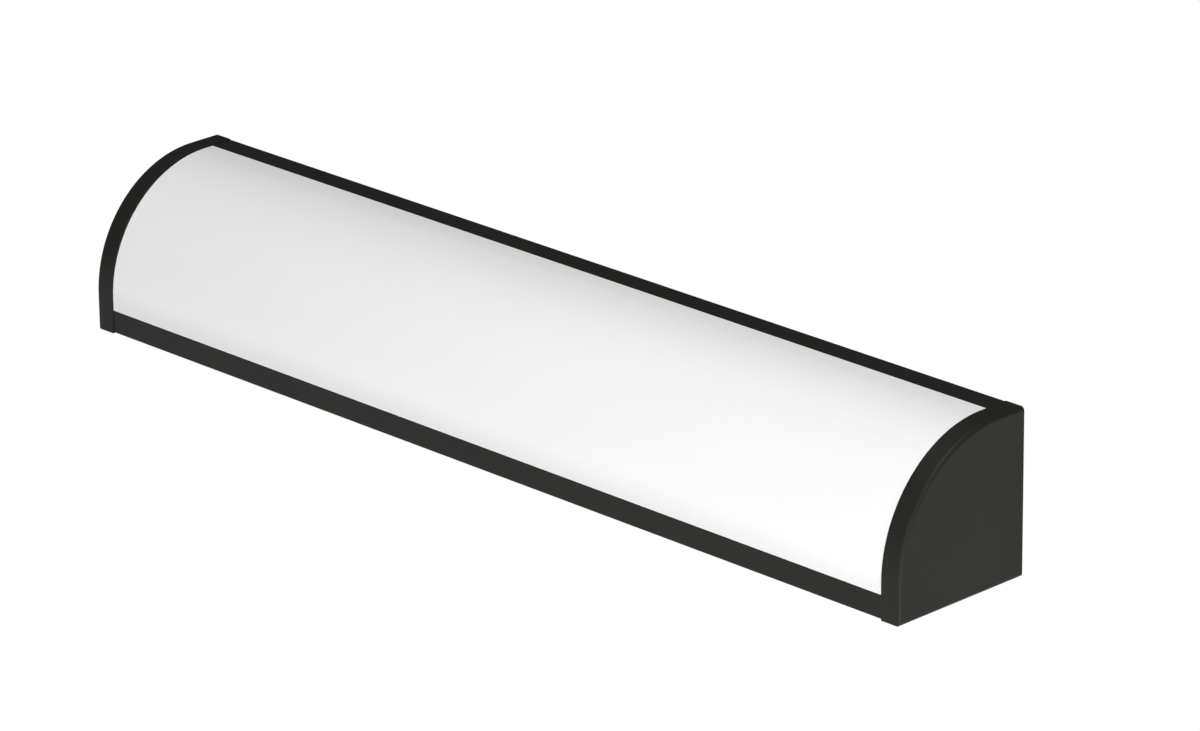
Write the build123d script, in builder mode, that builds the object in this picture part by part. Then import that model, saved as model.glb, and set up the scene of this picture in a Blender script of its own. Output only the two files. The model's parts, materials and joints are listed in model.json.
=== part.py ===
"""Vanity light bar: a quarter-round wall light with a hinged cover over a steel pan.

Frame, in millimetres: +X along the bar, +Z up and -Y out of the wall.
The wall plane is y = 0, and the origin is the middle of the wire entry in that plane.
"""

import math
import os

from build123d import *

os.makedirs("parts", exist_ok=True)

# ---------------------------------------------------------------- driving dimensions
LENGTH = 609.6  # overall, a nominal 24 inch bar
HEIGHT = 92.0  # of the end caps
DEPTH = 90.8  # of the end caps, front to back edge
WALL_GAP = 1.5  # between the cover's back edge and the wall
ARC_RADIUS = 71.5  # of the end caps' round corner
CAP_RIM = 12.7  # width of each end cap along the bar
CAP_WALL = 2.6
CAP_EDGE_RADIUS = 2.2
PROUD = 0.6  # the caps stand this far outside the rails and the lens
RAIL_FACE = 13.4  # from the caps' bottom or back edge to where the lens starts
RAIL_SHEET = 1.5
LENS_SHEET = 2.0
SEAT_GAP = 0.2  # between the lens and the rails that hold it
FIT = 0.05  # radial play of every screw, peg and wire in its hole

PAN_SHEET = 1.0
PAN_LENGTH = 564.0
PAN_BEND = 1.5
TRAY_SHEET = 0.8
TRAY_LENGTH = 556.0
TRAY_BEND = 1.4

BEAD_RADIUS = 1.3
CHANNEL_BORE = 1.4
CHANNEL_RADIUS = 2.3

WIRE_HOLE_RADIUS = 7.0
BUSHING_WALL = 1.8
BUSHING_FLANGE_WIDTH = 4.0
BUSHING_FLANGE_THICK = 1.6
BUSHING_LENGTH = 4.4
BOX_SCREW_SPACING = 88.9
BOX_SLOT_LENGTH = 12.0
BOX_SLOT_WIDTH = 5.2
ANCHOR_SPACING = 406.4
ANCHOR_RADIUS = 2.75
ANCHOR_Z = 27.5

BOARD_LENGTH = 268.0
BOARD_WIDTH = 18.0
BOARD_THICK = 1.6
BOARD_MID = 141.0
BOARD_HOLE_ALONG = 5.8
BOARD_HOLE_SPACING = 220.0
BOARD_SCREW_RADIUS = 1.0
BOARD_HEAD_RADIUS = 2.1
BOARD_HEAD_HEIGHT = 1.3
CHIP_COUNT = 18
CHIP_PITCH = 14.5
CHIP_LENGTH = 3.5
CHIP_WIDTH = 2.8
CHIP_HEIGHT = 0.7

DRIVER_START = 75.0
DRIVER_LENGTH = 170.0
DRIVER_END = 4.0  # thickness of each moulded end of the driver
DRIVER_DEPTH = 18.0
DRIVER_LOW = -37.0
DRIVER_HIGH = -9.0
EAR_LENGTH = 12.0
EAR_WIDTH = 9.0
EAR_THICK = 2.0

TERMINAL_X = (-90.0, -70.0)
TERMINAL_DEPTH = 12.0
TERMINAL_HEIGHT = 24.0
POLE_PITCH = 8.0
POLES_Z = (-32.0, -24.0, -16.0)

COVER_SCREW_X = 230.0
COVER_SCREW_Y = -9.0
COVER_SCREW_RADIUS = 1.95
COVER_SCREW_HEAD = 5.0
COVER_SCREW_HEAD_HEIGHT = 4.0
TRAY_SCREW_X = 150.0
TRAY_SCREW_Z = 18.5
SMALL_SCREW_RADIUS = 1.45
SMALL_HEAD_RADIUS = 3.0
SMALL_HEAD_HEIGHT = 1.9
GROUND_X = 24.0
GROUND_Z = -23.0
GROUND_SCREW_RADIUS = 1.95
GROUND_HEAD_RADIUS = 3.9
GROUND_HEAD_HEIGHT = 2.6
SCREW_STOP = 0.1  # screws end this far short of the wall plane

GROMMET_X = 260.5
GROMMET_ALONG = -20.5
GROMMET_HOLE = 4.0
GROMMET_BORE = 2.4
GROMMET_RADIUS = 5.4
GROMMET_FLANGE = 1.2
NUT_CLEARANCE = 5.2  # radius of the tray's openings round the cover screws' nuts

# ---------------------------------------------------------------- derived places
TOP = HEIGHT / 2
BOTTOM = -HEIGHT / 2
BACK = -WALL_GAP
FRONT = BACK - DEPTH
ARC_Y = FRONT + ARC_RADIUS
ARC_Z = TOP - ARC_RADIUS
CAP_OUTER = LENGTH / 2
CAP_INNER = CAP_OUTER - CAP_RIM
SKIN_TOP = TOP - PROUD
SKIN_BOTTOM = BOTTOM + PROUD
SKIN_FRONT = FRONT + PROUD
LOWER_LIP_Z = BOTTOM + RAIL_FACE
UPPER_LIP_Y = BACK - RAIL_FACE
LENS_HALF = CAP_INNER - 0.3

HINGE_Y = -4.0
HINGE_Z = SKIN_TOP - CHANNEL_RADIUS
FLANGE_Z = SKIN_BOTTOM + RAIL_SHEET + 2.0  # middle of the pan's bottom flange
FLANGE_REACH = 15.0

DRIVER_STOP = DRIVER_START + DRIVER_LENGTH
DRIVER_MID_X = DRIVER_START + DRIVER_LENGTH / 2
DRIVER_MID_Z = (DRIVER_LOW + DRIVER_HIGH) / 2

# The tray's sloping face, which carries the lamp boards at 45 degrees.
SLOPE_TOP = (-PAN_SHEET - TRAY_SHEET / 2, 15.0)
SLOPE_RUN = 40.0
SLOPE_LOW = (SLOPE_TOP[0] - SLOPE_RUN, SLOPE_TOP[1] - SLOPE_RUN)
SLOPE_MID = ((SLOPE_TOP[0] + SLOPE_LOW[0]) / 2, (SLOPE_TOP[1] + SLOPE_LOW[1]) / 2)
FOOT_Z = FLANGE_Z + PAN_SHEET / 2 + TRAY_SHEET / 2
FOOT_FRONT = -22.0
FOOT_BACK = -3.4
TRAY_FLANGE_TOP = 22.0
BOARD_LIFT = TRAY_SHEET / 2
BOARD_TOP = BOARD_LIFT + BOARD_THICK


def slope_plane(x, lift):
    """Plane on the tray's sloping face, raised by lift; its y runs up the slope."""
    shift = lift * math.sqrt(0.5)
    place = (x, SLOPE_MID[0] - shift, SLOPE_MID[1] + shift)
    return Plane(origin=place, x_dir=(1, 0, 0), z_dir=(0, -1, 1))


def slope_point(x, along, lift):
    """Point over the sloping face: along is measured up the slope from its middle."""
    step = math.sqrt(0.5)
    y = SLOPE_MID[0] + step * (along - lift)
    z = SLOPE_MID[1] + step * (along + lift)
    return (x, y, z)


def housing_outline(inset, back=BACK):
    """Closed side outline of the housing, drawn in by inset from the caps' outside."""
    with BuildLine() as outline:
        Line((back, BOTTOM + inset), (back, TOP - inset))
        Line((back, TOP - inset), (ARC_Y, TOP - inset))
        CenterArc((ARC_Y, ARC_Z), ARC_RADIUS - inset, 90, 90)
        Line((FRONT + inset, ARC_Z), (FRONT + inset, BOTTOM + inset))
        Line((FRONT + inset, BOTTOM + inset), (back, BOTTOM + inset))
    make_face(outline.edges())


def strip(y_range, z_range):
    """Rectangle in a side section, given by its two edges each way."""
    middle = (sum(y_range) / 2, sum(z_range) / 2)
    with Locations(middle):
        Rectangle(abs(y_range[1] - y_range[0]), abs(z_range[1] - z_range[0]))


def folded_sheet(points, bend_radius, thickness):
    """Side section of a folded sheet whose middle line runs through the points."""
    with BuildLine() as outline:
        FilletPolyline(*points, radius=bend_radius)
        offset(amount=thickness / 2)
    make_face(outline.edges())


def finish(piece, label):
    """Name a finished piece and write it out."""
    piece.part.label = label
    export_step(piece.part, f"parts/{label}.step")


# ---------------------------------------------------------------- wall pan
neck_angle = math.radians(292)
neck_foot = (-PAN_SHEET / 2, HINGE_Z - (HINGE_Y + PAN_SHEET / 2) * math.tan(neck_angle))
pan_path = [
    (-FLANGE_REACH, FLANGE_Z),
    (-PAN_SHEET / 2, FLANGE_Z),
    neck_foot,
    (HINGE_Y, HINGE_Z),
]

with BuildPart() as back_pan:
    with BuildSketch(Plane.YZ):
        folded_sheet(pan_path, PAN_BEND, PAN_SHEET)
        with Locations((HINGE_Y, HINGE_Z)):
            Circle(BEAD_RADIUS)
    extrude(amount=PAN_LENGTH / 2, both=True)
    # Openings through the back wall, looking along +Y.
    with BuildSketch(Plane.XZ.offset(PAN_SHEET + 0.5)):
        Circle(WIRE_HOLE_RADIUS + BUSHING_WALL + 0.2)
        with GridLocations(BOX_SCREW_SPACING, 0, 2, 1):
            SlotOverall(BOX_SLOT_LENGTH, BOX_SLOT_WIDTH)
        with Locations((0, ANCHOR_Z)):
            with GridLocations(ANCHOR_SPACING, 0, 2, 1):
                Circle(ANCHOR_RADIUS)
        with Locations((0, TRAY_SCREW_Z)):
            with GridLocations(2 * TRAY_SCREW_X, 0, 2, 1):
                Circle(SMALL_SCREW_RADIUS + FIT)
        with Locations((GROUND_X, GROUND_Z)):
            Circle(GROUND_SCREW_RADIUS + FIT)
        with Locations((DRIVER_MID_X, DRIVER_MID_Z)):
            with GridLocations(DRIVER_LENGTH + EAR_LENGTH, 0, 2, 1):
                Circle(SMALL_SCREW_RADIUS + FIT)
    extrude(amount=-(PAN_SHEET + 1.0), mode=Mode.SUBTRACT)
    # Holes down through the bottom flange.
    with BuildSketch(Plane.XY.offset(FLANGE_Z - 1)):
        with Locations((0, COVER_SCREW_Y)):
            with GridLocations(2 * COVER_SCREW_X, 0, 2, 1):
                Circle(COVER_SCREW_RADIUS + FIT)
            with GridLocations(2 * TRAY_SCREW_X, 0, 2, 1):
                Circle(SMALL_SCREW_RADIUS + FIT)
    extrude(amount=2, mode=Mode.SUBTRACT)
finish(back_pan, "back_pan")

with BuildPart() as wire_bushing:
    with BuildSketch(Plane.XZ.offset(PAN_SHEET)):
        Circle(WIRE_HOLE_RADIUS + BUSHING_FLANGE_WIDTH)
    extrude(amount=BUSHING_FLANGE_THICK)
    with BuildSketch(Plane.XZ):
        Circle(WIRE_HOLE_RADIUS + BUSHING_WALL)
    extrude(amount=BUSHING_LENGTH)
    with BuildSketch(Plane.XZ):
        Circle(WIRE_HOLE_RADIUS)
    extrude(amount=BUSHING_LENGTH, mode=Mode.SUBTRACT)
    inner_rims = wire_bushing.edges().filter_by(GeomType.CIRCLE).group_by(Axis.Y)[0]
    fillet(inner_rims, radius=0.7)
finish(wire_bushing, "wire_bushing")

# ---------------------------------------------------------------- lamp tray
tray_path = [
    (SLOPE_TOP[0], TRAY_FLANGE_TOP),
    SLOPE_TOP,
    SLOPE_LOW,
    (FOOT_FRONT, FOOT_Z),
    (FOOT_BACK, FOOT_Z),
]

with BuildPart() as led_tray:
    with BuildSketch(Plane.YZ):
        folded_sheet(tray_path, TRAY_BEND, TRAY_SHEET)
    extrude(amount=TRAY_LENGTH / 2, both=True)
    with BuildSketch(Plane.XZ.offset(3)):
        with Locations((0, TRAY_SCREW_Z)):
            with GridLocations(2 * TRAY_SCREW_X, 0, 2, 1):
                Circle(SMALL_SCREW_RADIUS + FIT)
    extrude(amount=-3, mode=Mode.SUBTRACT)
    with BuildSketch(Plane.XY.offset(FOOT_Z - 1)):
        with Locations((0, COVER_SCREW_Y)):
            with GridLocations(2 * COVER_SCREW_X, 0, 2, 1):
                Circle(NUT_CLEARANCE)
            with GridLocations(2 * TRAY_SCREW_X, 0, 2, 1):
                Circle(SMALL_SCREW_RADIUS + FIT)
    extrude(amount=2, mode=Mode.SUBTRACT)
    with BuildSketch(slope_plane(0, -2)):
        with Locations((GROMMET_X, GROMMET_ALONG)):
            Circle(GROMMET_HOLE)
        for side in (-1, 1):
            with Locations((side * BOARD_MID, BOARD_HOLE_ALONG)):
                with GridLocations(BOARD_HOLE_SPACING, 0, 2, 1):
                    Circle(BOARD_SCREW_RADIUS + FIT)
    extrude(amount=4, mode=Mode.SUBTRACT)
finish(led_tray, "led_tray")

with BuildPart() as tray_grommet:
    with BuildSketch(slope_plane(GROMMET_X, -TRAY_SHEET / 2 - GROMMET_FLANGE)):
        with Locations((0, GROMMET_ALONG)):
            Circle(GROMMET_RADIUS)
    extrude(amount=GROMMET_FLANGE)
    with BuildSketch(slope_plane(GROMMET_X, TRAY_SHEET / 2)):
        with Locations((0, GROMMET_ALONG)):
            Circle(GROMMET_RADIUS)
    extrude(amount=GROMMET_FLANGE)
    with BuildSketch(slope_plane(GROMMET_X, -TRAY_SHEET)):
        with Locations((0, GROMMET_ALONG)):
            Circle(GROMMET_HOLE - FIT)
    extrude(amount=2 * TRAY_SHEET)
    with BuildSketch(slope_plane(GROMMET_X, -4)):
        with Locations((0, GROMMET_ALONG)):
            Circle(GROMMET_BORE)
    extrude(amount=8, mode=Mode.SUBTRACT)
finish(tray_grommet, "tray_grommet")

with BuildPart() as tray_screws:
    for side in (-1, 1):
        with BuildSketch(Plane.XZ.offset(PAN_SHEET + TRAY_SHEET)):
            with Locations((side * TRAY_SCREW_X, TRAY_SCREW_Z)):
                Circle(SMALL_HEAD_RADIUS)
        extrude(amount=SMALL_HEAD_HEIGHT)
        with BuildSketch(Plane.XZ.offset(PAN_SHEET + TRAY_SHEET)):
            with Locations((side * TRAY_SCREW_X, TRAY_SCREW_Z)):
                Circle(SMALL_SCREW_RADIUS)
        extrude(amount=-PAN_SHEET - TRAY_SHEET + SCREW_STOP)
        with BuildSketch(Plane.XY.offset(FOOT_Z + TRAY_SHEET / 2)):
            with Locations((side * TRAY_SCREW_X, COVER_SCREW_Y)):
                Circle(SMALL_HEAD_RADIUS)
        extrude(amount=SMALL_HEAD_HEIGHT)
        with BuildSketch(Plane.XY.offset(FOOT_Z + TRAY_SHEET / 2)):
            with Locations((side * TRAY_SCREW_X, COVER_SCREW_Y)):
                Circle(SMALL_SCREW_RADIUS)
        extrude(amount=-2.4)
finish(tray_screws, "tray_screws")


# ---------------------------------------------------------------- lamp boards
def build_board(side, label):
    """One lamp board with its two fixing holes."""
    with BuildPart() as board:
        with BuildSketch(slope_plane(side * BOARD_MID, BOARD_LIFT)):
            RectangleRounded(BOARD_LENGTH, BOARD_WIDTH, 1.0)
            with Locations((0, BOARD_HOLE_ALONG)):
                with GridLocations(BOARD_HOLE_SPACING, 0, 2, 1):
                    Circle(BOARD_SCREW_RADIUS + FIT, mode=Mode.SUBTRACT)
        extrude(amount=BOARD_THICK)
    finish(board, label)


def build_chips(side, label):
    """The row of lamp chips on one board."""
    with BuildPart() as chips:
        with BuildSketch(slope_plane(side * BOARD_MID, BOARD_TOP)):
            with GridLocations(CHIP_PITCH, 0, CHIP_COUNT, 1):
                Rectangle(CHIP_LENGTH, CHIP_WIDTH)
        extrude(amount=CHIP_HEIGHT)
    finish(chips, label)


for board_side, board_name in ((-1, "left"), (1, "right")):
    build_board(board_side, f"led_board_{board_name}")
    build_chips(board_side, f"led_chips_{board_name}")

CONNECTOR_ALONG = -5.4
FEED_X = 268.0
JUMPER_X = 15.0
CONNECTOR_SIZE = (7.0, 5.6)
CONNECTOR_HEIGHT = 3.6

with BuildPart() as board_connectors:
    with BuildSketch(slope_plane(0, BOARD_TOP)):
        with Locations((-JUMPER_X, CONNECTOR_ALONG), (JUMPER_X, CONNECTOR_ALONG)):
            Rectangle(*CONNECTOR_SIZE)
        with Locations((FEED_X, CONNECTOR_ALONG)):
            Rectangle(*CONNECTOR_SIZE)
    extrude(amount=CONNECTOR_HEIGHT)
    sides = board_connectors.edges().filter_by(lambda edge: abs(edge.length - CONNECTOR_HEIGHT) < 0.01)
    chamfer(sides, length=0.4)
finish(board_connectors, "board_connectors")

with BuildPart() as board_screws:
    for side in (-1, 1):
        with BuildSketch(slope_plane(side * BOARD_MID, BOARD_TOP)):
            with Locations((0, BOARD_HOLE_ALONG)):
                with GridLocations(BOARD_HOLE_SPACING, 0, 2, 1):
                    Circle(BOARD_HEAD_RADIUS)
        extrude(amount=BOARD_HEAD_HEIGHT)
        with BuildSketch(slope_plane(side * BOARD_MID, BOARD_TOP)):
            with Locations((0, BOARD_HOLE_ALONG)):
                with GridLocations(BOARD_HOLE_SPACING, 0, 2, 1):
                    Circle(BOARD_SCREW_RADIUS)
        extrude(amount=-4.0)
finish(board_screws, "board_screws")

# ---------------------------------------------------------------- driver
driver_section = ((-PAN_SHEET - DRIVER_DEPTH, -PAN_SHEET), (DRIVER_LOW, DRIVER_HIGH))

with BuildPart() as driver_case:
    with BuildSketch(Plane.YZ.offset(DRIVER_START + DRIVER_END)):
        strip(*driver_section)
    extrude(amount=DRIVER_LENGTH - 2 * DRIVER_END)
    long_front_edges = driver_case.edges().filter_by(Axis.X).group_by(Axis.Y)[0]
    fillet(long_front_edges, radius=1.5)
finish(driver_case, "driver_case")

with BuildPart() as driver_ends:
    for start in (DRIVER_START, DRIVER_STOP - DRIVER_END):
        with BuildSketch(Plane.YZ.offset(start)):
            strip(*driver_section)
        extrude(amount=DRIVER_END)
    with BuildSketch(Plane.XZ.offset(PAN_SHEET)):
        with Locations((DRIVER_MID_X, DRIVER_MID_Z)):
            with GridLocations(DRIVER_LENGTH + EAR_LENGTH, 0, 2, 1):
                Rectangle(EAR_LENGTH, EAR_WIDTH)
    extrude(amount=EAR_THICK)
    with BuildSketch(Plane.XZ.offset(PAN_SHEET - 1)):
        with Locations((DRIVER_MID_X, DRIVER_MID_Z)):
            with GridLocations(DRIVER_LENGTH + EAR_LENGTH, 0, 2, 1):
                Circle(SMALL_SCREW_RADIUS + FIT)
    extrude(amount=5.0, mode=Mode.SUBTRACT)
finish(driver_ends, "driver_ends")

with BuildPart() as driver_screws:
    with BuildSketch(Plane.XZ.offset(PAN_SHEET + EAR_THICK)):
        with Locations((DRIVER_MID_X, DRIVER_MID_Z)):
            with GridLocations(DRIVER_LENGTH + EAR_LENGTH, 0, 2, 1):
                Circle(SMALL_HEAD_RADIUS)
    extrude(amount=SMALL_HEAD_HEIGHT)
    with BuildSketch(Plane.XZ.offset(PAN_SHEET + EAR_THICK)):
        with Locations((DRIVER_MID_X, DRIVER_MID_Z)):
            with GridLocations(DRIVER_LENGTH + EAR_LENGTH, 0, 2, 1):
                Circle(SMALL_SCREW_RADIUS)
    extrude(amount=-PAN_SHEET - EAR_THICK + SCREW_STOP)
finish(driver_screws, "driver_screws")

# ---------------------------------------------------------------- terminal block and ground
WIRE_RADIUS = 1.1
LEAD_RADIUS = 0.6
LEAD_LIFT = 4.0  # height of the lamp leads over the slope where they enter a connector
terminal_front = PAN_SHEET + TERMINAL_DEPTH
terminal_mid_x = sum(TERMINAL_X) / 2
terminal_width = TERMINAL_X[1] - TERMINAL_X[0]
TERMINAL_SCREW_PITCH = 9.0
TERMINAL_SCREW_RADIUS = 2.0
TERMINAL_SCREW_RECESS = 0.8
TERMINAL_WIRE_Y = -7.0

with BuildPart() as terminal_block:
    with BuildSketch(Plane.XZ.offset(PAN_SHEET)):
        with Locations((terminal_mid_x, POLES_Z[1])):
            Rectangle(terminal_width, TERMINAL_HEIGHT)
    extrude(amount=TERMINAL_DEPTH)
    # Grooves that part one pole from the next.
    with BuildSketch(Plane.XZ.offset(terminal_front)):
        with Locations((terminal_mid_x, POLES_Z[1])):
            with GridLocations(0, POLE_PITCH, 1, 2):
                Rectangle(terminal_width, 1.2)
    extrude(amount=-3.0, mode=Mode.SUBTRACT)
    with BuildSketch(Plane.XZ.offset(terminal_front)):
        with Locations((terminal_mid_x, POLES_Z[1])):
            with GridLocations(TERMINAL_SCREW_PITCH, POLE_PITCH, 2, 3):
                Circle(TERMINAL_SCREW_RADIUS + FIT)
    extrude(amount=-3.5, mode=Mode.SUBTRACT)
    with BuildSketch(Plane.YZ.offset(TERMINAL_X[1] - 5.0)):
        for pole_z in POLES_Z:
            with Locations((TERMINAL_WIRE_Y, pole_z)):
                Circle(WIRE_RADIUS + FIT)
    extrude(amount=5.0, mode=Mode.SUBTRACT)
    with BuildSketch(Plane.YZ.offset(TERMINAL_X[0])):
        for pole_z in POLES_Z:
            with Locations((TERMINAL_WIRE_Y, pole_z)):
                Circle(WIRE_RADIUS + 0.4)
    extrude(amount=5.0, mode=Mode.SUBTRACT)
finish(terminal_block, "terminal_block")

with BuildPart() as terminal_screws:
    with BuildSketch(Plane.XZ.offset(terminal_front - TERMINAL_SCREW_RECESS)):
        with Locations((terminal_mid_x, POLES_Z[1])):
            with GridLocations(TERMINAL_SCREW_PITCH, POLE_PITCH, 2, 3):
                Circle(TERMINAL_SCREW_RADIUS)
    extrude(amount=-3.5 + TERMINAL_SCREW_RECESS)
    with BuildSketch(Plane.XZ.offset(terminal_front - TERMINAL_SCREW_RECESS)):
        with Locations((terminal_mid_x, POLES_Z[1])):
            with GridLocations(TERMINAL_SCREW_PITCH, POLE_PITCH, 2, 3):
                Rectangle(3.2, 0.6)
    extrude(amount=-0.7, mode=Mode.SUBTRACT)
finish(terminal_screws, "terminal_screws")

LUG_THICK = 0.8
LUG_REACH = 10.0

with BuildPart() as ground_lug:
    with BuildSketch(Plane.XZ.offset(PAN_SHEET)):
        with Locations((GROUND_X, GROUND_Z)):
            Circle(4.2)
        with Locations((GROUND_X - 5.0, GROUND_Z)):
            Rectangle(8.0, 3.4)
        with Locations((GROUND_X, GROUND_Z)):
            Circle(GROUND_SCREW_RADIUS + FIT, mode=Mode.SUBTRACT)
    extrude(amount=LUG_THICK)
    with BuildSketch(Plane.YZ.offset(GROUND_X - LUG_REACH - 3.0)):
        with Locations((-PAN_SHEET - 2.0, GROUND_Z)):
            Circle(2.0)
            Circle(WIRE_RADIUS + FIT, mode=Mode.SUBTRACT)
    extrude(amount=6.0)
finish(ground_lug, "ground_lug")

with BuildPart() as ground_screw:
    with BuildSketch(Plane.XZ.offset(PAN_SHEET + LUG_THICK)):
        with Locations((GROUND_X, GROUND_Z)):
            RegularPolygon(GROUND_HEAD_RADIUS, 6)
    extrude(amount=GROUND_HEAD_HEIGHT)
    with BuildSketch(Plane.XZ.offset(PAN_SHEET + LUG_THICK)):
        with Locations((GROUND_X, GROUND_Z)):
            Circle(GROUND_SCREW_RADIUS)
    extrude(amount=-PAN_SHEET - LUG_THICK + SCREW_STOP)
    with BuildSketch(Plane.XZ.offset(PAN_SHEET + LUG_THICK + GROUND_HEAD_HEIGHT)):
        with Locations((GROUND_X, GROUND_Z)):
            Rectangle(6.0, 0.9)
    extrude(amount=-1.0, mode=Mode.SUBTRACT)
finish(ground_screw, "ground_screw")


# ---------------------------------------------------------------- wires
def bend_radii(points):
    """The largest radius that each corner's two runs leave room for."""
    radii = []
    for before, corner, after in zip(points, points[1:], points[2:]):
        run_in = Vector(*corner) - Vector(*before)
        run_out = Vector(*after) - Vector(*corner)
        turn = math.radians(run_in.get_angle(run_out))
        shorter = min(run_in.length, run_out.length)
        radii.append(0.45 * shorter / math.tan(turn / 2))
    return radii


def build_wire(label, routes, radius):
    """Insulated wires along their routes, as straight runs and tangent arcs."""
    with BuildPart() as wire:
        for points in routes:
            with BuildLine() as path:
                FilletPolyline(*points, radius=bend_radii(points))
            with BuildSketch(Plane(origin=path.line @ 0, z_dir=path.line % 0)):
                Circle(radius)
            sweep()
    finish(wire, label)


line_route = [
    (DRIVER_START, -9.0, -32.0),
    (60.0, -9.0, -32.0),
    (22.0, -6.6, -35.6),
    (-18.0, -6.0, -36.2),
    (-50.0, TERMINAL_WIRE_Y, POLES_Z[0]),
    (TERMINAL_X[1] - 4.0, TERMINAL_WIRE_Y, POLES_Z[0]),
]
neutral_route = [
    (DRIVER_START, -13.0, -30.0),
    (62.0, -13.0, -30.0),
    (26.0, -10.8, -31.2),
    (-14.0, -9.6, -29.6),
    (-52.0, TERMINAL_WIRE_Y, POLES_Z[1]),
    (TERMINAL_X[1] - 4.0, TERMINAL_WIRE_Y, POLES_Z[1]),
]
ground_route = [
    (GROUND_X - LUG_REACH, -PAN_SHEET - 2.0, GROUND_Z),
    (3.0, -PAN_SHEET - 2.0, GROUND_Z),
    (-26.0, -5.0, -21.0),
    (-52.0, TERMINAL_WIRE_Y, POLES_Z[2]),
    (TERMINAL_X[1] - 4.0, TERMINAL_WIRE_Y, POLES_Z[2]),
]
build_wire("line_wire", [line_route], WIRE_RADIUS)
build_wire("neutral_wire", [neutral_route], WIRE_RADIUS)
build_wire("ground_wire", [ground_route], WIRE_RADIUS)


def feed_route(side):
    """One of the two leads from the driver, through the grommet, to the feed connector."""
    through_x = GROMMET_X + 0.9 * side
    connector_x = FEED_X + 1.4 * side
    connector_low = CONNECTOR_ALONG - CONNECTOR_SIZE[1] / 2
    start_y = -9.0 + side
    return [
        (DRIVER_STOP, start_y, -30.0),
        (DRIVER_STOP + 6.0 + 1.2 * side, start_y, -30.0),
        slope_point(through_x, GROMMET_ALONG, -10.0),
        slope_point(through_x, GROMMET_ALONG, 6.0),
        slope_point(connector_x, connector_low - 5.0, LEAD_LIFT),
        slope_point(connector_x, connector_low, LEAD_LIFT),
    ]


build_wire("led_wire_positive", [feed_route(1)], LEAD_RADIUS)
build_wire("led_wire_negative", [feed_route(-1)], LEAD_RADIUS)

jumper_half = JUMPER_X - CONNECTOR_SIZE[0] / 2
jumper_routes = []
for jumper_along in (CONNECTOR_ALONG - 1.0, CONNECTOR_ALONG + 1.0):
    jumper_routes.append(
        [
            slope_point(-jumper_half, jumper_along, LEAD_LIFT),
            slope_point(-jumper_half + 4.5, jumper_along, LEAD_LIFT),
            slope_point(0, jumper_along, LEAD_LIFT + 2.4),
            slope_point(jumper_half - 4.5, jumper_along, LEAD_LIFT),
            slope_point(jumper_half, jumper_along, LEAD_LIFT),
        ]
    )
build_wire("jumper_wires", jumper_routes, LEAD_RADIUS)

# ---------------------------------------------------------------- cover: rails
PORT_RADIUS = 3.0
PEG_RADIUS = 1.5
PEG_LENGTH = 8.0
HOOK_WALL = 1.2
TONGUE_REACH = 5.8
LOWER_PORT = (-84.6, SKIN_BOTTOM + RAIL_SHEET + 2.6)
UPPER_PORT = (-9.6, 37.8)
CAP_SCREW_X = 287.0
CAP_SCREW_Y = -46.0
CAP_SCREW_RADIUS = 1.4
NOTCH_RADIUS = 2.4

tongue_front = SKIN_FRONT + RAIL_SHEET + SEAT_GAP
tongue_back = tongue_front + LENS_SHEET
tongue_low = LOWER_LIP_Z - TONGUE_REACH
tongue_top = SKIN_TOP - RAIL_SHEET - SEAT_GAP
tongue_under = tongue_top - LENS_SHEET
tongue_rear = UPPER_LIP_Y + TONGUE_REACH
web_top = SKIN_BOTTOM + RAIL_SHEET

with BuildPart() as lower_rail:
    with BuildSketch(Plane.YZ):
        strip((SKIN_FRONT, SKIN_FRONT + RAIL_SHEET), (SKIN_BOTTOM, LOWER_LIP_Z))
        strip((SKIN_FRONT, BACK), (SKIN_BOTTOM, web_top))
        ridge_y = tongue_back + SEAT_GAP
        strip((ridge_y, ridge_y + HOOK_WALL), (SKIN_BOTTOM, LOWER_LIP_Z - 2.5))
        with Locations(LOWER_PORT):
            Circle(PORT_RADIUS)
            Circle(PEG_RADIUS, mode=Mode.SUBTRACT)
    extrude(amount=CAP_INNER, both=True)
    front_bottom_edge = lower_rail.edges().filter_by(Axis.X).group_by(Axis.Y)[0].sort_by(Axis.Z)[0]
    fillet(front_bottom_edge, radius=0.5)
    # Notches, open at the back, that let the web slide off the cover screws.
    with BuildSketch(Plane.XY.offset(SKIN_BOTTOM - 1)):
        for side in (-1, 1):
            with Locations((side * COVER_SCREW_X, COVER_SCREW_Y)):
                Circle(NOTCH_RADIUS)
            with Locations((side * COVER_SCREW_X, COVER_SCREW_Y / 2)):
                Rectangle(2 * NOTCH_RADIUS, -COVER_SCREW_Y)
    extrude(amount=RAIL_SHEET + 2, mode=Mode.SUBTRACT)
    for side in (-1, 1):
        hole_top = (side * CAP_SCREW_X, CAP_SCREW_Y, SKIN_BOTTOM)
        with Locations(Plane(origin=hole_top, z_dir=(0, 0, -1))):
            CounterSinkHole(CAP_SCREW_RADIUS + FIT, CAP_SCREW_RADIUS + FIT + RAIL_SHEET, RAIL_SHEET + 0.1, 90)
finish(lower_rail, "lower_rail")

CHANNEL_FROM = 36.0
CHANNEL_TO = 238.0


def channel_gap():
    """Wedge that is left out of the hinge channel, for the pan's neck to pass."""
    reach = 2 * CHANNEL_RADIUS
    corners = [(HINGE_Y, HINGE_Z)]
    for step in range(4):
        angle = math.radians(CHANNEL_TO + step * (360 + CHANNEL_FROM - CHANNEL_TO) / 3)
        corners.append((HINGE_Y + reach * math.cos(angle), HINGE_Z + reach * math.sin(angle)))
    with BuildLine() as wedge:
        Polyline(*corners, close=True)
    make_face(wedge.edges(), mode=Mode.SUBTRACT)


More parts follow.
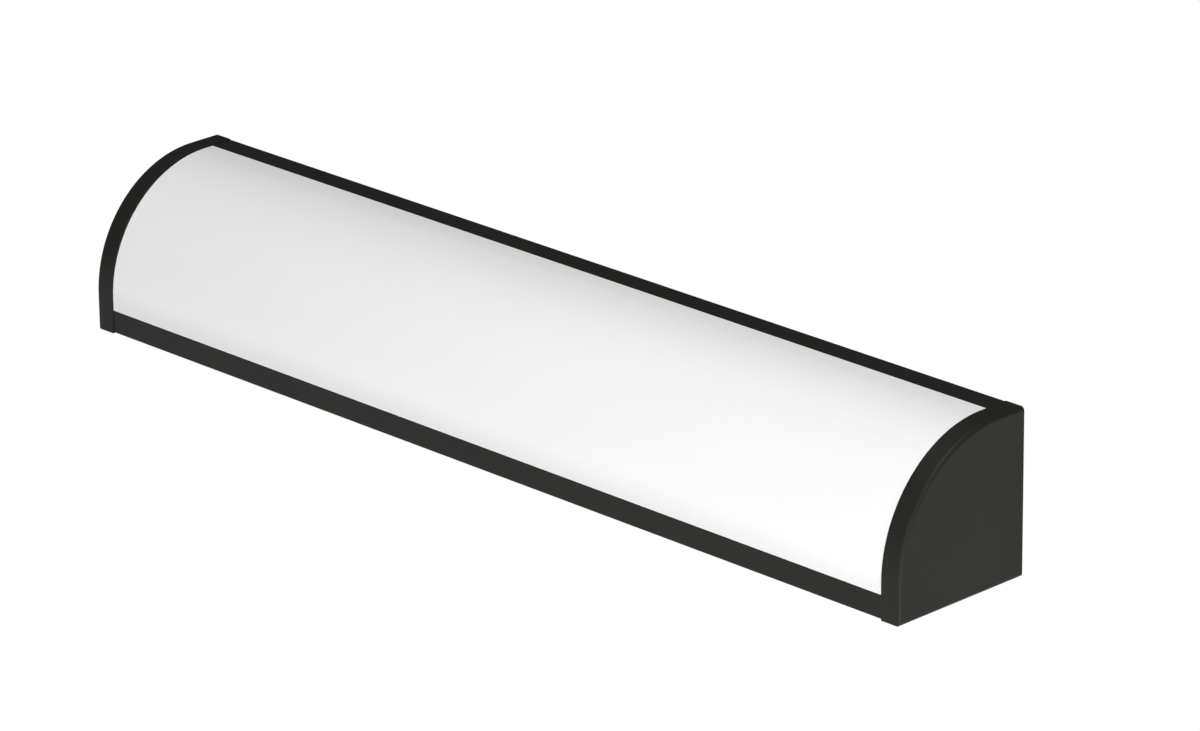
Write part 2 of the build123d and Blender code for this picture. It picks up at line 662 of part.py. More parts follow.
with BuildPart() as upper_rail:
    with BuildSketch(Plane.YZ):
        with Locations((HINGE_Y, HINGE_Z)):
            Circle(CHANNEL_RADIUS)
        channel_gap()
        strip((UPPER_LIP_Y, BACK), (SKIN_TOP - RAIL_SHEET, SKIN_TOP))
        groove_wall = tongue_rear + SEAT_GAP
        groove_floor = tongue_under - SEAT_GAP
        strip((groove_wall, groove_wall + HOOK_WALL), (groove_floor - HOOK_WALL, SKIN_TOP))
        strip((UPPER_LIP_Y + 1.8, groove_wall + HOOK_WALL), (groove_floor - HOOK_WALL, groove_floor))
        with Locations(UPPER_PORT):
            Circle(PORT_RADIUS)
            Circle(PEG_RADIUS, mode=Mode.SUBTRACT)
        with Locations((HINGE_Y, HINGE_Z)):
            Circle(CHANNEL_BORE, mode=Mode.SUBTRACT)
    extrude(amount=CAP_INNER, both=True)
finish(upper_rail, "upper_rail")

# ---------------------------------------------------------------- cover: lens
with BuildPart() as diffuser_lens:
    with BuildSketch(Plane.YZ):
        lens_low = LOWER_LIP_Z + SEAT_GAP
        lens_rear = UPPER_LIP_Y - SEAT_GAP
        inner_front = SKIN_FRONT + LENS_SHEET
        inner_top = SKIN_TOP - LENS_SHEET
        with BuildLine():
            Line((SKIN_FRONT, lens_low), (SKIN_FRONT, ARC_Z))
            CenterArc((ARC_Y, ARC_Z), ARC_RADIUS - PROUD, 90, 90)
            Line((ARC_Y, SKIN_TOP), (lens_rear, SKIN_TOP))
            Line((lens_rear, SKIN_TOP), (lens_rear, inner_top))
            Line((lens_rear, inner_top), (ARC_Y, inner_top))
            CenterArc((ARC_Y, ARC_Z), ARC_RADIUS - PROUD - LENS_SHEET, 90, 90)
            Line((inner_front, ARC_Z), (inner_front, lens_low))
            Line((inner_front, lens_low), (SKIN_FRONT, lens_low))
        make_face()
        strip((SKIN_FRONT, tongue_back), (lens_low, lens_low + LENS_SHEET))
        strip((tongue_front, tongue_back), (tongue_low, lens_low + LENS_SHEET))
        strip((lens_rear - LENS_SHEET, lens_rear), (tongue_under, SKIN_TOP))
        strip((lens_rear - LENS_SHEET, tongue_rear), (tongue_under, tongue_top))
    extrude(amount=LENS_HALF, both=True)
finish(diffuser_lens, "diffuser_lens")

# ---------------------------------------------------------------- cover: end caps
RIB_RADIUS = ARC_RADIUS - PROUD - LENS_SHEET - 0.3
RIB_WALL = 2.0
RIB_REACH = 8.0
TAB_THICK = 2.5

with BuildPart() as end_cap_right:
    with BuildSketch(Plane.YZ.offset(CAP_INNER)):
        housing_outline(0)
    extrude(amount=CAP_RIM)
    outer_edges = end_cap_right.faces().sort_by(Axis.X)[-1].edges()
    fillet(outer_edges.filter_by(lambda edge: edge.center().Y < BACK - 1), radius=CAP_EDGE_RADIUS)
    with BuildSketch(Plane.YZ.offset(CAP_INNER)):
        housing_outline(CAP_WALL, back=0)
    extrude(amount=CAP_RIM - CAP_WALL, mode=Mode.SUBTRACT)
    # Curved rib that stands inside the lens and backs it up.
    with BuildSketch(Plane.YZ.offset(CAP_INNER - RIB_REACH)):
        with BuildLine():
            CenterArc((ARC_Y, ARC_Z), RIB_RADIUS, 96, 78)
            offset(amount=RIB_WALL, side=Side.LEFT, kind=Kind.INTERSECTION)
        make_face()
    extrude(amount=RIB_REACH + CAP_RIM - CAP_WALL / 2)
    # Pegs that plug into the rails' round ports, each on a boss.
    with BuildSketch(Plane.YZ.offset(CAP_INNER)):
        with Locations(LOWER_PORT, UPPER_PORT):
            Circle(PORT_RADIUS)
    extrude(amount=CAP_RIM - CAP_WALL / 2)
    with BuildSketch(Plane.YZ.offset(CAP_INNER - PEG_LENGTH)):
        with Locations(LOWER_PORT, UPPER_PORT):
            Circle(PEG_RADIUS - FIT)
    extrude(amount=PEG_LENGTH + 1)
    # Tab over the lower rail's web, for the cap screw.
    with BuildSketch(Plane.XY.offset(web_top)):
        with Locations((CAP_INNER - 2.5, CAP_SCREW_Y)):
            Rectangle(13.0, 12.0)
        with Locations((CAP_SCREW_X, CAP_SCREW_Y)):
            Circle(CAP_SCREW_RADIUS + FIT, mode=Mode.SUBTRACT)
    extrude(amount=TAB_THICK)
finish(end_cap_right, "end_cap_right")

with BuildPart() as end_cap_left:
    mirror(end_cap_right.part, about=Plane.YZ)
finish(end_cap_left, "end_cap_left")

with BuildPart() as cap_screws:
    for side in (-1, 1):
        with Locations((side * CAP_SCREW_X, CAP_SCREW_Y, SKIN_BOTTOM + RAIL_SHEET / 2)):
            Cone(CAP_SCREW_RADIUS + RAIL_SHEET, CAP_SCREW_RADIUS, RAIL_SHEET)
        with BuildSketch(Plane.XY.offset(web_top)):
            with Locations((side * CAP_SCREW_X, CAP_SCREW_Y)):
                Circle(CAP_SCREW_RADIUS)
        extrude(amount=TAB_THICK + 1.5)
        for turn in (0, 90):
            with BuildSketch(Plane.XY.offset(SKIN_BOTTOM)):
                with Locations((side * CAP_SCREW_X, CAP_SCREW_Y)):
                    Rectangle(3.4, 0.7, rotation=turn)
            extrude(amount=0.7, mode=Mode.SUBTRACT)
finish(cap_screws, "cap_screws")

# ---------------------------------------------------------------- cover screws
SCREW_HEAD_TOP = SKIN_BOTTOM - 0.3
NUT_BASE = FLANGE_Z + PAN_SHEET / 2
NUT_HEIGHT = 3.0
KNURL_COUNT = 24
KNURL_RADIUS = 0.35

with BuildPart() as screw_nuts:
    with BuildSketch(Plane.XY.offset(NUT_BASE)):
        with Locations((0, COVER_SCREW_Y)):
            with GridLocations(2 * COVER_SCREW_X, 0, 2, 1):
                RegularPolygon(4.0, 6)
                Circle(COVER_SCREW_RADIUS + FIT, mode=Mode.SUBTRACT)
    extrude(amount=NUT_HEIGHT)
finish(screw_nuts, "screw_nuts")


def build_cover_screw(side, label):
    """Knurled thumb screw that holds the cover's web up against the pan."""
    middle = (side * COVER_SCREW_X, COVER_SCREW_Y)
    with BuildPart() as screw:
        with BuildSketch(Plane.XY.offset(SCREW_HEAD_TOP)):
            with Locations(middle):
                Circle(COVER_SCREW_HEAD)
                with PolarLocations(COVER_SCREW_HEAD, KNURL_COUNT):
                    Circle(KNURL_RADIUS, mode=Mode.SUBTRACT)
        extrude(amount=-COVER_SCREW_HEAD_HEIGHT)
        with BuildSketch(Plane.XY.offset(SCREW_HEAD_TOP)):
            with Locations(middle):
                Circle(COVER_SCREW_RADIUS)
        extrude(amount=NUT_BASE + NUT_HEIGHT + 0.6 - SCREW_HEAD_TOP)
        with BuildSketch(Plane.XY.offset(SCREW_HEAD_TOP - COVER_SCREW_HEAD_HEIGHT)):
            with Locations(middle):
                Rectangle(7.0, 1.1)
        extrude(amount=1.2, mode=Mode.SUBTRACT)
    finish(screw, label)


for screw_side, screw_name in ((-1, "left"), (1, "right")):
    build_cover_screw(screw_side, f"cover_screw_{screw_name}")
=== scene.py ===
"""Quarter-round vanity light bar: black caps and rails, an opal lens and the works inside."""

import json
import math

import bmesh
import bpy
from mathutils import Matrix, Vector


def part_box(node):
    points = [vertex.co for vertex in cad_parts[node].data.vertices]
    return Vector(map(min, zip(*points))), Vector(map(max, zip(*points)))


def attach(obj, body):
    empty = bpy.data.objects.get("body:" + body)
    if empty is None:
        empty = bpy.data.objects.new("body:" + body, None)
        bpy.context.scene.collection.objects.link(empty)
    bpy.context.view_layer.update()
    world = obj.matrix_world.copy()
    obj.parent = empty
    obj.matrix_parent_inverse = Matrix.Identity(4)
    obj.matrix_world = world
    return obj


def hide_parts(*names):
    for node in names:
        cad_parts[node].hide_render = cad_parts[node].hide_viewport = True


bl_info = {
    "name": "Vanity Light Bar",
    "version": (1, 0, 0),
    "blender": (4, 5, 0),
    "location": "3D View > Sidebar > Light Bar",
    "description": "Models a wall light bar round its packed frame",
    "category": "Object",
}

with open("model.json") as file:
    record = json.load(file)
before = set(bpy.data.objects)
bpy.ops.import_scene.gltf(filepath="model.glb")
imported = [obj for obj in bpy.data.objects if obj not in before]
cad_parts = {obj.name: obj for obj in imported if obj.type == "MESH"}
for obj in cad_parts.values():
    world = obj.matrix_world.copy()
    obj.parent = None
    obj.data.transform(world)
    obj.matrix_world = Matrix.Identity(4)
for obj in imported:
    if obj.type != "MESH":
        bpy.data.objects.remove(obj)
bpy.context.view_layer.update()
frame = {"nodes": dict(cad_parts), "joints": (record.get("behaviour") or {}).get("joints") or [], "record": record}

MM = 0.001
CAP_LOW, CAP_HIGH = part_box("end_cap_right")
LENS_LOW, LENS_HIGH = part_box("diffuser_lens")
LOWER_LOW, LOWER_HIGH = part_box("lower_rail")
UPPER_LOW, UPPER_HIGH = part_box("upper_rail")
PAN_LOW, PAN_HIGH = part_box("back_pan")
TRAY_LOW, TRAY_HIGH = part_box("led_tray")

BAR_END = CAP_HIGH.x
CAP_INNER = UPPER_HIGH.x
FRONT, BACK = CAP_LOW.y, CAP_HIGH.y
BOTTOM, TOP = CAP_LOW.z, CAP_HIGH.z
SKIN_FRONT, SKIN_TOP = LENS_LOW.y, LENS_HIGH.z
SKIN_BOTTOM = LOWER_LOW.z
LOWER_LIP, UPPER_LIP = LOWER_HIGH.z, UPPER_LOW.y
SWING = next(joint for joint in frame["joints"] if joint["name"] == "cover_swing")
HINGE = Vector(SWING["pos_m"])
SEAT = 0.2 * MM  # gap between the lens and what holds it
PORTS = ((-84.6 * MM, SKIN_BOTTOM + 4.1 * MM), (-9.6 * MM, 37.8 * MM))  # y and z of the pegs' ports
SLOPE_TURN = math.radians(45)
SHANK_RADIUS = 1.45 * MM


# ---------------------------------------------------------------- sizes and colours
class LightBarSizes(bpy.types.PropertyGroup):
    """Sizes that a user may change."""

    arc_radius: bpy.props.FloatProperty(
        name="Corner Radius",
        description="Radius of the end caps' big round corner",
        default=71.5 * MM,
        unit="LENGTH",
        subtype="DISTANCE",
    )
    cap_edge: bpy.props.FloatProperty(
        name="Cap Edge",
        description="Radius of the end caps' outer edge",
        default=2.2 * MM,
        unit="LENGTH",
        subtype="DISTANCE",
    )
    cap_wall: bpy.props.FloatProperty(
        name="Cap Wall",
        description="Thickness of the end caps' walls",
        default=2.6 * MM,
        unit="LENGTH",
        subtype="DISTANCE",
    )
    rail_sheet: bpy.props.FloatProperty(
        name="Rail Wall",
        description="Thickness of the rails' walls",
        default=1.5 * MM,
        unit="LENGTH",
        subtype="DISTANCE",
    )
    lens_sheet: bpy.props.FloatProperty(
        name="Lens Wall",
        description="Thickness of the lens",
        default=2.0 * MM,
        unit="LENGTH",
        subtype="DISTANCE",
    )
    edge_break: bpy.props.FloatProperty(
        name="Edge Break",
        description="Rounding of edges that are otherwise sharp",
        default=0.2 * MM,
        unit="LENGTH",
        subtype="DISTANCE",
    )


class LightBarColours(bpy.types.PropertyGroup):
    """Colours and light that a user may change."""

    coat: bpy.props.FloatVectorProperty(
        name="Coat",
        description="Colour of the black coat on the caps and rails",
        default=(0.0158, 0.0158, 0.0146, 1.0),
        size=4,
        subtype="COLOR",
        min=0,
        max=1,
    )
    lens: bpy.props.FloatVectorProperty(
        name="Lens",
        description="Colour of the opal lens",
        default=(0.86, 0.86, 0.86, 1.0),
        size=4,
        subtype="COLOR",
        min=0,
        max=1,
    )
    sky: bpy.props.FloatProperty(
        name="Room Light",
        description="Strength of the even light from all round",
        default=0.05,
        min=0,
    )
    backdrop: bpy.props.FloatProperty(
        name="Backdrop",
        description="Paleness of what shows behind the bar where there is no floor",
        default=0.8,
        min=0,
    )
    floor: bpy.props.FloatProperty(
        name="Floor Light",
        description="Light that the pale floor gives off by itself",
        default=0.98,
        min=0,
    )
    top_light: bpy.props.FloatProperty(
        name="Top Light",
        description="Power of the large light overhead",
        default=41.0,
        min=0,
        unit="POWER",
    )
    right_light: bpy.props.FloatProperty(
        name="Right Light",
        description="Power of the light on the right, below the bar",
        default=9.0,
        min=0,
        unit="POWER",
    )
    front_light: bpy.props.FloatProperty(
        name="Front Light",
        description="Power of the light in front",
        default=4.9,
        min=0,
        unit="POWER",
    )
    fill_light: bpy.props.FloatProperty(
        name="Fill Light",
        description="Power of the light above the right end",
        default=4.0,
        min=0,
        unit="POWER",
    )


def sizes():
    """The sizes in the scene's panel."""
    return bpy.context.scene.light_bar_sizes


def colours():
    """The colours and lights in the scene's panel."""
    return bpy.context.scene.light_bar_colours


# ---------------------------------------------------------------- modelling helpers
def select_none():
    """Leave no object selected."""
    bpy.ops.object.select_all(action="DESELECT")


def only(piece):
    """Select one piece and nothing else."""
    select_none()
    piece.select_set(True)
    bpy.context.view_layer.objects.active = piece


def settle(piece):
    """Put a piece's place, turn and scale into its mesh."""
    only(piece)
    bpy.ops.object.transform_apply(location=True, rotation=True, scale=True)
    return piece


def block(name, low, high):
    """Box from one corner to the other."""
    low, high = Vector(low), Vector(high)
    select_none()
    bpy.ops.mesh.primitive_cube_add(size=1, location=(low + high) / 2, scale=high - low)
    bpy.context.object.name = name
    return settle(bpy.context.object)


def rod(name, start, end, radius, sides=48, fill="NGON"):
    """Round bar from one point to another."""
    start, end = Vector(start), Vector(end)
    run = end - start
    select_none()
    bpy.ops.mesh.primitive_cylinder_add(
        vertices=sides,
        radius=radius,
        depth=run.length,
        end_fill_type=fill,
        location=(start + end) / 2,
        rotation=run.to_track_quat("Z", "Y").to_euler(),
    )
    bpy.context.object.name = name
    return settle(bpy.context.object)


def edit(piece):
    """Open a piece in edit mode with nothing selected."""
    only(piece)
    bpy.ops.object.mode_set(mode="EDIT")
    bpy.ops.mesh.select_all(action="DESELECT")


def close(piece):
    """Leave edit mode with every face turned outwards."""
    bpy.ops.mesh.select_all(action="SELECT")
    bpy.ops.mesh.normals_make_consistent(inside=False)
    bpy.ops.object.mode_set(mode="OBJECT")
    return piece


def choose(kind, test):
    """In edit mode, select the edges or faces that pass the test."""
    bpy.ops.mesh.select_mode(type=kind)
    bpy.ops.mesh.select_all(action="DESELECT")
    mesh = bmesh.from_edit_mesh(bpy.context.object.data)
    chosen = [item for item in (mesh.edges if kind == "EDGE" else mesh.faces) if test(item)]
    for item in chosen:
        item.select_set(True)
    bmesh.update_edit_mesh(bpy.context.object.data)
    if not chosen:
        raise RuntimeError(f"nothing to select on {bpy.context.object.name}")


def pick(kind, test):
    """In edit mode, select the edges or faces whose corners all pass the test."""
    choose(kind, lambda item: all(test(corner.co) for corner in item.verts))


def round_off(radius, segments=5):
    """In edit mode, round the selected edges."""
    bpy.ops.mesh.bevel(offset=radius, segments=segments, affect="EDGES")


def span(edge):
    """Size of an edge's box."""
    one, two = (corner.co for corner in edge.verts)
    return Vector([abs(value) for value in two - one])


def near(value, place, slack=0.02 * MM):
    """Whether a coordinate is at a place."""
    return abs(value - place) < slack


def ribbon(name, points, half):
    """Open folded strip along the bar, drawn through (y, z) points leg by leg."""
    first, second = Vector((0, *points[0])), Vector((0, *points[1]))
    run = second - first
    select_none()
    bpy.ops.mesh.primitive_plane_add(
        size=1,
        location=(first + second) / 2,
        rotation=(math.atan2(run.z, run.y), 0, 0),
    )
    strip = bpy.context.object
    strip.name = name
    strip.scale = (2 * half, run.length, 1)
    settle(strip)
    edit(strip)
    end = second
    for point in points[2:]:
        corner = Vector((0, *point))
        pick("EDGE", lambda co: near(co.y, end.y) and near(co.z, end.z))
        bpy.ops.mesh.extrude_region_move(TRANSFORM_OT_translate={"value": corner - end})
        end = corner
    bpy.ops.object.mode_set(mode="OBJECT")
    return strip


def round_folds(strip, path, folds, segments):
    """Bend a strip at some of its path's corners; folds gives each corner's number and bend radius."""
    for index, radius in folds.items():
        before, corner, after = (Vector(path[index + step]) for step in (-1, 0, 1))
        turn = (corner - before).angle(after - corner)
        edit(strip)
        pick("EDGE", lambda co: near(co.y, corner.x) and near(co.z, corner.y))
        round_off(radius * math.tan(turn / 2), segments)
        bpy.ops.object.mode_set(mode="OBJECT")


def apply_modifier(piece, modifier):
    """Turn a modifier's result into the piece's mesh."""
    only(piece)
    bpy.ops.object.modifier_apply(modifier=modifier.name)


def thicken(piece, wall, side):
    """Give a strip its wall: side -1 is away from its face, 1 is out of it, 0 is both ways."""
    modifier = piece.modifiers.new("wall", "SOLIDIFY")
    modifier.thickness = wall
    modifier.offset = side
    modifier.use_even_offset = True
    apply_modifier(piece, modifier)
    edit(piece)
    return close(piece)


def face_out(strip, outward):
    """Turn a strip's faces so that its first leg looks the given way."""
    if strip.data.polygons[0].normal.dot(Vector(outward)) < 0:
        edit(strip)
        bpy.ops.mesh.select_all(action="SELECT")
        bpy.ops.mesh.flip_normals()
        bpy.ops.object.mode_set(mode="OBJECT")


def cut(piece, *cutters, mode="DIFFERENCE"):
    """Take the cutters out of a piece, or add them to it, and remove them."""
    for cutter in cutters:
        modifier = piece.modifiers.new("cut", "BOOLEAN")
        modifier.operation = mode
        modifier.solver = "EXACT"
        modifier.object = cutter
        apply_modifier(piece, modifier)
        bpy.data.objects.remove(cutter)
    return piece


def join(piece, *others):
    """Bring several parts of a piece together."""
    only(piece)
    for other in others:
        other.select_set(True)
    bpy.ops.object.join()
    return piece


def copy_at(piece, name, matrix):
    """Copy of a piece, with its own mesh, moved by a matrix."""
    only(piece)
    bpy.ops.object.duplicate()
    twin = bpy.context.object
    twin.name = name
    twin.matrix_world = matrix
    return settle(twin)


def break_edges(piece, width=None, segments=2, angle=40):
    """Round every sharp edge a little and smooth the rest."""
    modifier = piece.modifiers.new("edge", "BEVEL")
    modifier.width = sizes().edge_break if width is None else width
    modifier.segments = segments
    modifier.limit_method = "ANGLE"
    modifier.angle_limit = math.radians(angle)
    modifier.use_clamp_overlap = True
    apply_modifier(piece, modifier)
    return smooth(piece)


def smooth(piece, angle=34):
    """Smooth shading that keeps edges sharper than the angle, in degrees."""
    only(piece)
    bpy.ops.object.shade_smooth_by_angle(angle=math.radians(angle))
    modifier = piece.modifiers.new("normals", "WEIGHTED_NORMAL")
    modifier.keep_sharp = True
    modifier.weight = 50
    apply_modifier(piece, modifier)
    return piece


def solids(node):
    """Boxes of a CAD node's separate solids, from left to right."""
    mesh = frame["nodes"][node].data
    owner = {}

    def root(key):
        while owner[key] != key:
            owner[key] = owner[owner[key]]
            key = owner[key]
        return key

    keys = []
    for vertex in mesh.vertices:
        key = tuple(round(value * 1e6) for value in vertex.co)
        keys.append(key)
        owner.setdefault(key, key)
    for face in mesh.polygons:
        first = root(keys[face.vertices[0]])
        for index in face.vertices[1:]:
            owner[root(keys[index])] = first
    groups = {}
    for key in owner:
        groups.setdefault(root(key), []).append(Vector(key) * 1e-6)
    boxes = []
    for points in groups.values():
        low = Vector([min(point[axis] for point in points) for axis in range(3)])
        high = Vector([max(point[axis] for point in points) for axis in range(3)])
        boxes.append((low, high))
    return sorted(boxes, key=lambda box: tuple(round(value, 5) for value in box[0]))


def middles(*nodes):
    """Middles of the separate solids of some CAD nodes."""
    return [(low + high) / 2 for node in nodes for low, high in solids(node)]


def place(piece, body, material, slot, *nodes):
    """Give a finished piece its material, its body and the nodes that it stands for."""
    piece.data.materials.clear()
    piece.data.materials.append(material)
    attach(piece, body)
    if nodes:
        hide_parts(*nodes)
    return piece


def dress(node, material):
    """Give a CAD node that is shown as it stands its material."""
    slots = frame["nodes"][node].material_slots
    for slot in slots:
        slot.material = material


# ---------------------------------------------------------------- shader groups
def new_node(tree, kind, values=None, **settings):
    """Node with its settings and the values of its inputs."""
    node = tree.nodes.new(kind)
    for name, value in settings.items():
        setattr(node, name, value)
    for name, value in (values or {}).items():
        node.inputs[name].default_value = value
    return node


GROUP_INPUTS = {
    "Light": (0.5, 0.5, 0.5, 1),
    "Dark": (0.4, 0.4, 0.4, 1),
    "Rough Low": 0.4,
    "Rough High": 0.5,
}
GROUP_OUTPUTS = {
    "Colour": "NodeSocketColor",
    "Roughness": "NodeSocketFloat",
    "Height": "NodeSocketFloat",
}


def make_group(name, more_inputs):
    """Empty shader group; its own inputs come after those that every group has."""
    tree = bpy.data.node_groups.new(name, "ShaderNodeTree")
    for label, default in {**GROUP_INPUTS, **more_inputs}.items():
        kind = "NodeSocketColor" if isinstance(default, tuple) else "NodeSocketFloat"
        socket = tree.interface.new_socket(name=label, in_out="INPUT", socket_type=kind)
        socket.default_value = default
    for label, kind in GROUP_OUTPUTS.items():
        tree.interface.new_socket(name=label, in_out="OUTPUT", socket_type=kind)
    return tree, new_node(tree, "NodeGroupInput").outputs


def put_out(tree, given, tone, wear, height, cover=None):
    """Lead a tone, the wear of its gloss and a height out; a cover is a factor and a colour on top."""
    colour = mix_colours(tree, tone, given["Dark"], given["Light"])
    # a cover is painted shade: only the opal sheet passes one, to darken the lens by its lower lip
    if cover:
        colour = mix_colours(tree, cover[0], colour, cover[1])
    rough = ramp_between(tree, wear, given["Rough Low"], given["Rough High"])
    result = new_node(tree, "NodeGroupOutput")
    for name, value in zip(GROUP_OUTPUTS, (colour, rough, height)):
        tree.links.new(value, result.inputs[name])
    return tree


def noise_of(tree, scale, detail, stretch=(1, 1, 1)):
    """Noise on object coordinates; scale is a socket or a number of waves per metre."""
    where = new_node(tree, "ShaderNodeTexCoord")
    mapping = new_node(tree, "ShaderNodeMapping", {"Scale": stretch})
    noise = new_node(tree, "ShaderNodeTexNoise", {"Detail": detail, "Roughness": 0.55})
    tree.links.new(where.outputs["Object"], mapping.inputs["Vector"])
    tree.links.new(mapping.outputs["Vector"], noise.inputs["Vector"])
    if isinstance(scale, (int, float)):
        noise.inputs["Scale"].default_value = scale
    else:
        tree.links.new(scale, noise.inputs["Scale"])
    return noise.outputs["Fac"]


def stretched(tree, factor):
    """Stretch a noise's middle to the whole range from 0 to 1."""
    remap = new_node(tree, "ShaderNodeMapRange", {"From Min": 0.35, "From Max": 0.65})
    tree.links.new(factor, remap.inputs["Value"])
    return remap.outputs["Result"]


def ramp_between(tree, factor, low, high):
    """Number that runs from low to high with the factor; both are sockets."""
    remap = new_node(tree, "ShaderNodeMapRange", {"From Min": 0.3, "From Max": 0.7})
    for name, value in (("Value", factor), ("To Min", low), ("To Max", high)):
        tree.links.new(value, remap.inputs[name])
    return remap.outputs["Result"]


def mix_colours(tree, factor, one, two):
    """Colour between two others; sockets 6, 7 and 2 are the mixer's colour ones."""
    mix = new_node(tree, "ShaderNodeMix", data_type="RGBA")
    for socket, value in zip((0, 6, 7), (factor, one, two)):
        tree.links.new(value, mix.inputs[socket])
    return mix.outputs[2]


def combine(tree, operation, one, two):
    """Sum, difference or product of two sockets or numbers."""
    node = new_node(tree, "ShaderNodeMath", operation=operation)
    for socket, value in zip(node.inputs, (one, two)):
        if isinstance(value, (int, float)):
            socket.default_value = value
        else:
            tree.links.new(value, socket)
    return node.outputs[0]


def blend_of(tree, one, two, share):
    """A share of one number plus the rest of another."""
    first = combine(tree, "MULTIPLY", one, share)
    return combine(tree, "ADD", first, combine(tree, "MULTIPLY", two, 1 - share))


def coat_group():
    """Sprayed and baked coat: soft orange peel, fine grain and a faint cloud in its tone."""
    inputs = {"Peel Scale": 700.0, "Grain Scale": 4200.0, "Grain Share": 0.35}
    tree, given = make_group("Sprayed Coat", inputs)
    peel = noise_of(tree, given["Peel Scale"], 2.0)
    grain = noise_of(tree, given["Grain Scale"], 3.0)
    cloud = noise_of(tree, 22.0, 3.0)
    tone = stretched(tree, blend_of(tree, cloud, grain, 0.6))
    fine = combine(tree, "MULTIPLY", grain, given["Grain Share"])
    return put_out(tree, given, tone, grain, combine(tree, "ADD", peel, fine))


def opal_group(lip, reach):
    """Extruded opal sheet: faint draw lines along the bar, a soft cloud, and painted shade that darkens it towards
    the lower lip, where the rail would shade it from inside.
    """
    tree, given = make_group("Opal Sheet", {"Lip": (0.72, 0.72, 0.72, 1)})
    cloud = noise_of(tree, 14.0, 3.0)
    lines = noise_of(tree, 90.0, 3.0, (0.15, 3, 3))
    where = new_node(tree, "ShaderNodeTexCoord")
    parts = new_node(tree, "ShaderNodeSeparateXYZ")
    # painted shade mask: 1 at the lower lip, falling to 0 a reach higher up
    painted_shade_mask = new_node(
        tree,
        "ShaderNodeMapRange",
        {"From Min": lip, "From Max": lip + reach, "To Min": 1.0, "To Max": 0.0},
        interpolation_type="SMOOTHSTEP",
    )
    tree.links.new(where.outputs["Object"], parts.inputs["Vector"])
    tree.links.new(parts.outputs["Z"], painted_shade_mask.inputs["Value"])
    tone = stretched(tree, blend_of(tree, cloud, lines, 0.7))
    # the painted shade colour is laid over the tone by that mask
    return put_out(tree, given, tone, cloud, lines, (painted_shade_mask.outputs["Result"], given["Lip"]))


def metal_group():
    """Plated or rolled metal: drawn streaks along the bar, spangle cells and fine scratches."""
    tree, given = make_group("Plated Metal", {"Cell Scale": 160.0, "Cell Share": 0.5})
    where = new_node(tree, "ShaderNodeTexCoord")
    cells = new_node(tree, "ShaderNodeTexVoronoi", {"Randomness": 1.0})
    tree.links.new(where.outputs["Object"], cells.inputs["Vector"])
    tree.links.new(given["Cell Scale"], cells.inputs["Scale"])
    shade = new_node(tree, "ShaderNodeSeparateColor")
    tree.links.new(cells.outputs["Color"], shade.inputs["Color"])
    streak = noise_of(tree, 60.0, 4.0, (0.6, 24, 24))
    spangle = combine(tree, "MULTIPLY", shade.outputs["Red"], given["Cell Share"])
    rest = combine(tree, "SUBTRACT", 1.0, given["Cell Share"])
    tone = combine(tree, "ADD", spangle, combine(tree, "MULTIPLY", stretched(tree, streak), rest))
    return put_out(tree, given, tone, tone, combine(tree, "MULTIPLY", streak, 0.6))


def surface(name, group, values, bump=(0.2, 0.02 * MM), metallic=0.0, **fixed):
    """Material whose varying parts come from a group; fixed values go on the shader."""
    material = bpy.data.materials.new(name)
    material.use_nodes = True
    tree = material.node_tree
    shader = tree.nodes["Principled BSDF"]
    skin = new_node(tree, "ShaderNodeGroup", node_tree=group)
    for label, value in values.items():
        skin.inputs[label].default_value = value
    relief = new_node(tree, "ShaderNodeBump", {"Strength": bump[0], "Distance": bump[1]})
    tree.links.new(skin.outputs["Colour"], shader.inputs["Base Color"])
    tree.links.new(skin.outputs["Roughness"], shader.inputs["Roughness"])
    tree.links.new(skin.outputs["Height"], relief.inputs["Height"])
    tree.links.new(relief.outputs["Normal"], shader.inputs["Normal"])
    shader.inputs["Metallic"].default_value = metallic
    for label, value in fixed.items():
        shader.inputs[label.replace("_", " ").title().replace("Ior", "IOR")].default_value = value
    return material


def tint(colour, share):
    """Colour made lighter or darker by a share."""
    return tuple(min(1.0, value * share) for value in colour[:3]) + (1.0,)


def tones(colour, spread, rough):
    """Group values of a colour that varies by a share either way, and of its roughness."""
    light, dark = tint(colour, 1 + spread), tint(colour, 1 - spread)
    return {"Light": light, "Dark": dark, "Rough Low": rough[0], "Rough High": rough[1]}


MATERIALS = {}
# how far above the lower lip the lens's painted shade reaches
LIP_SHADE = 16 * MM


def finish_of(name):
    """One of the finishes, made the first time it is asked for."""
    if not MATERIALS:
        make_finishes()
    return MATERIALS[name]


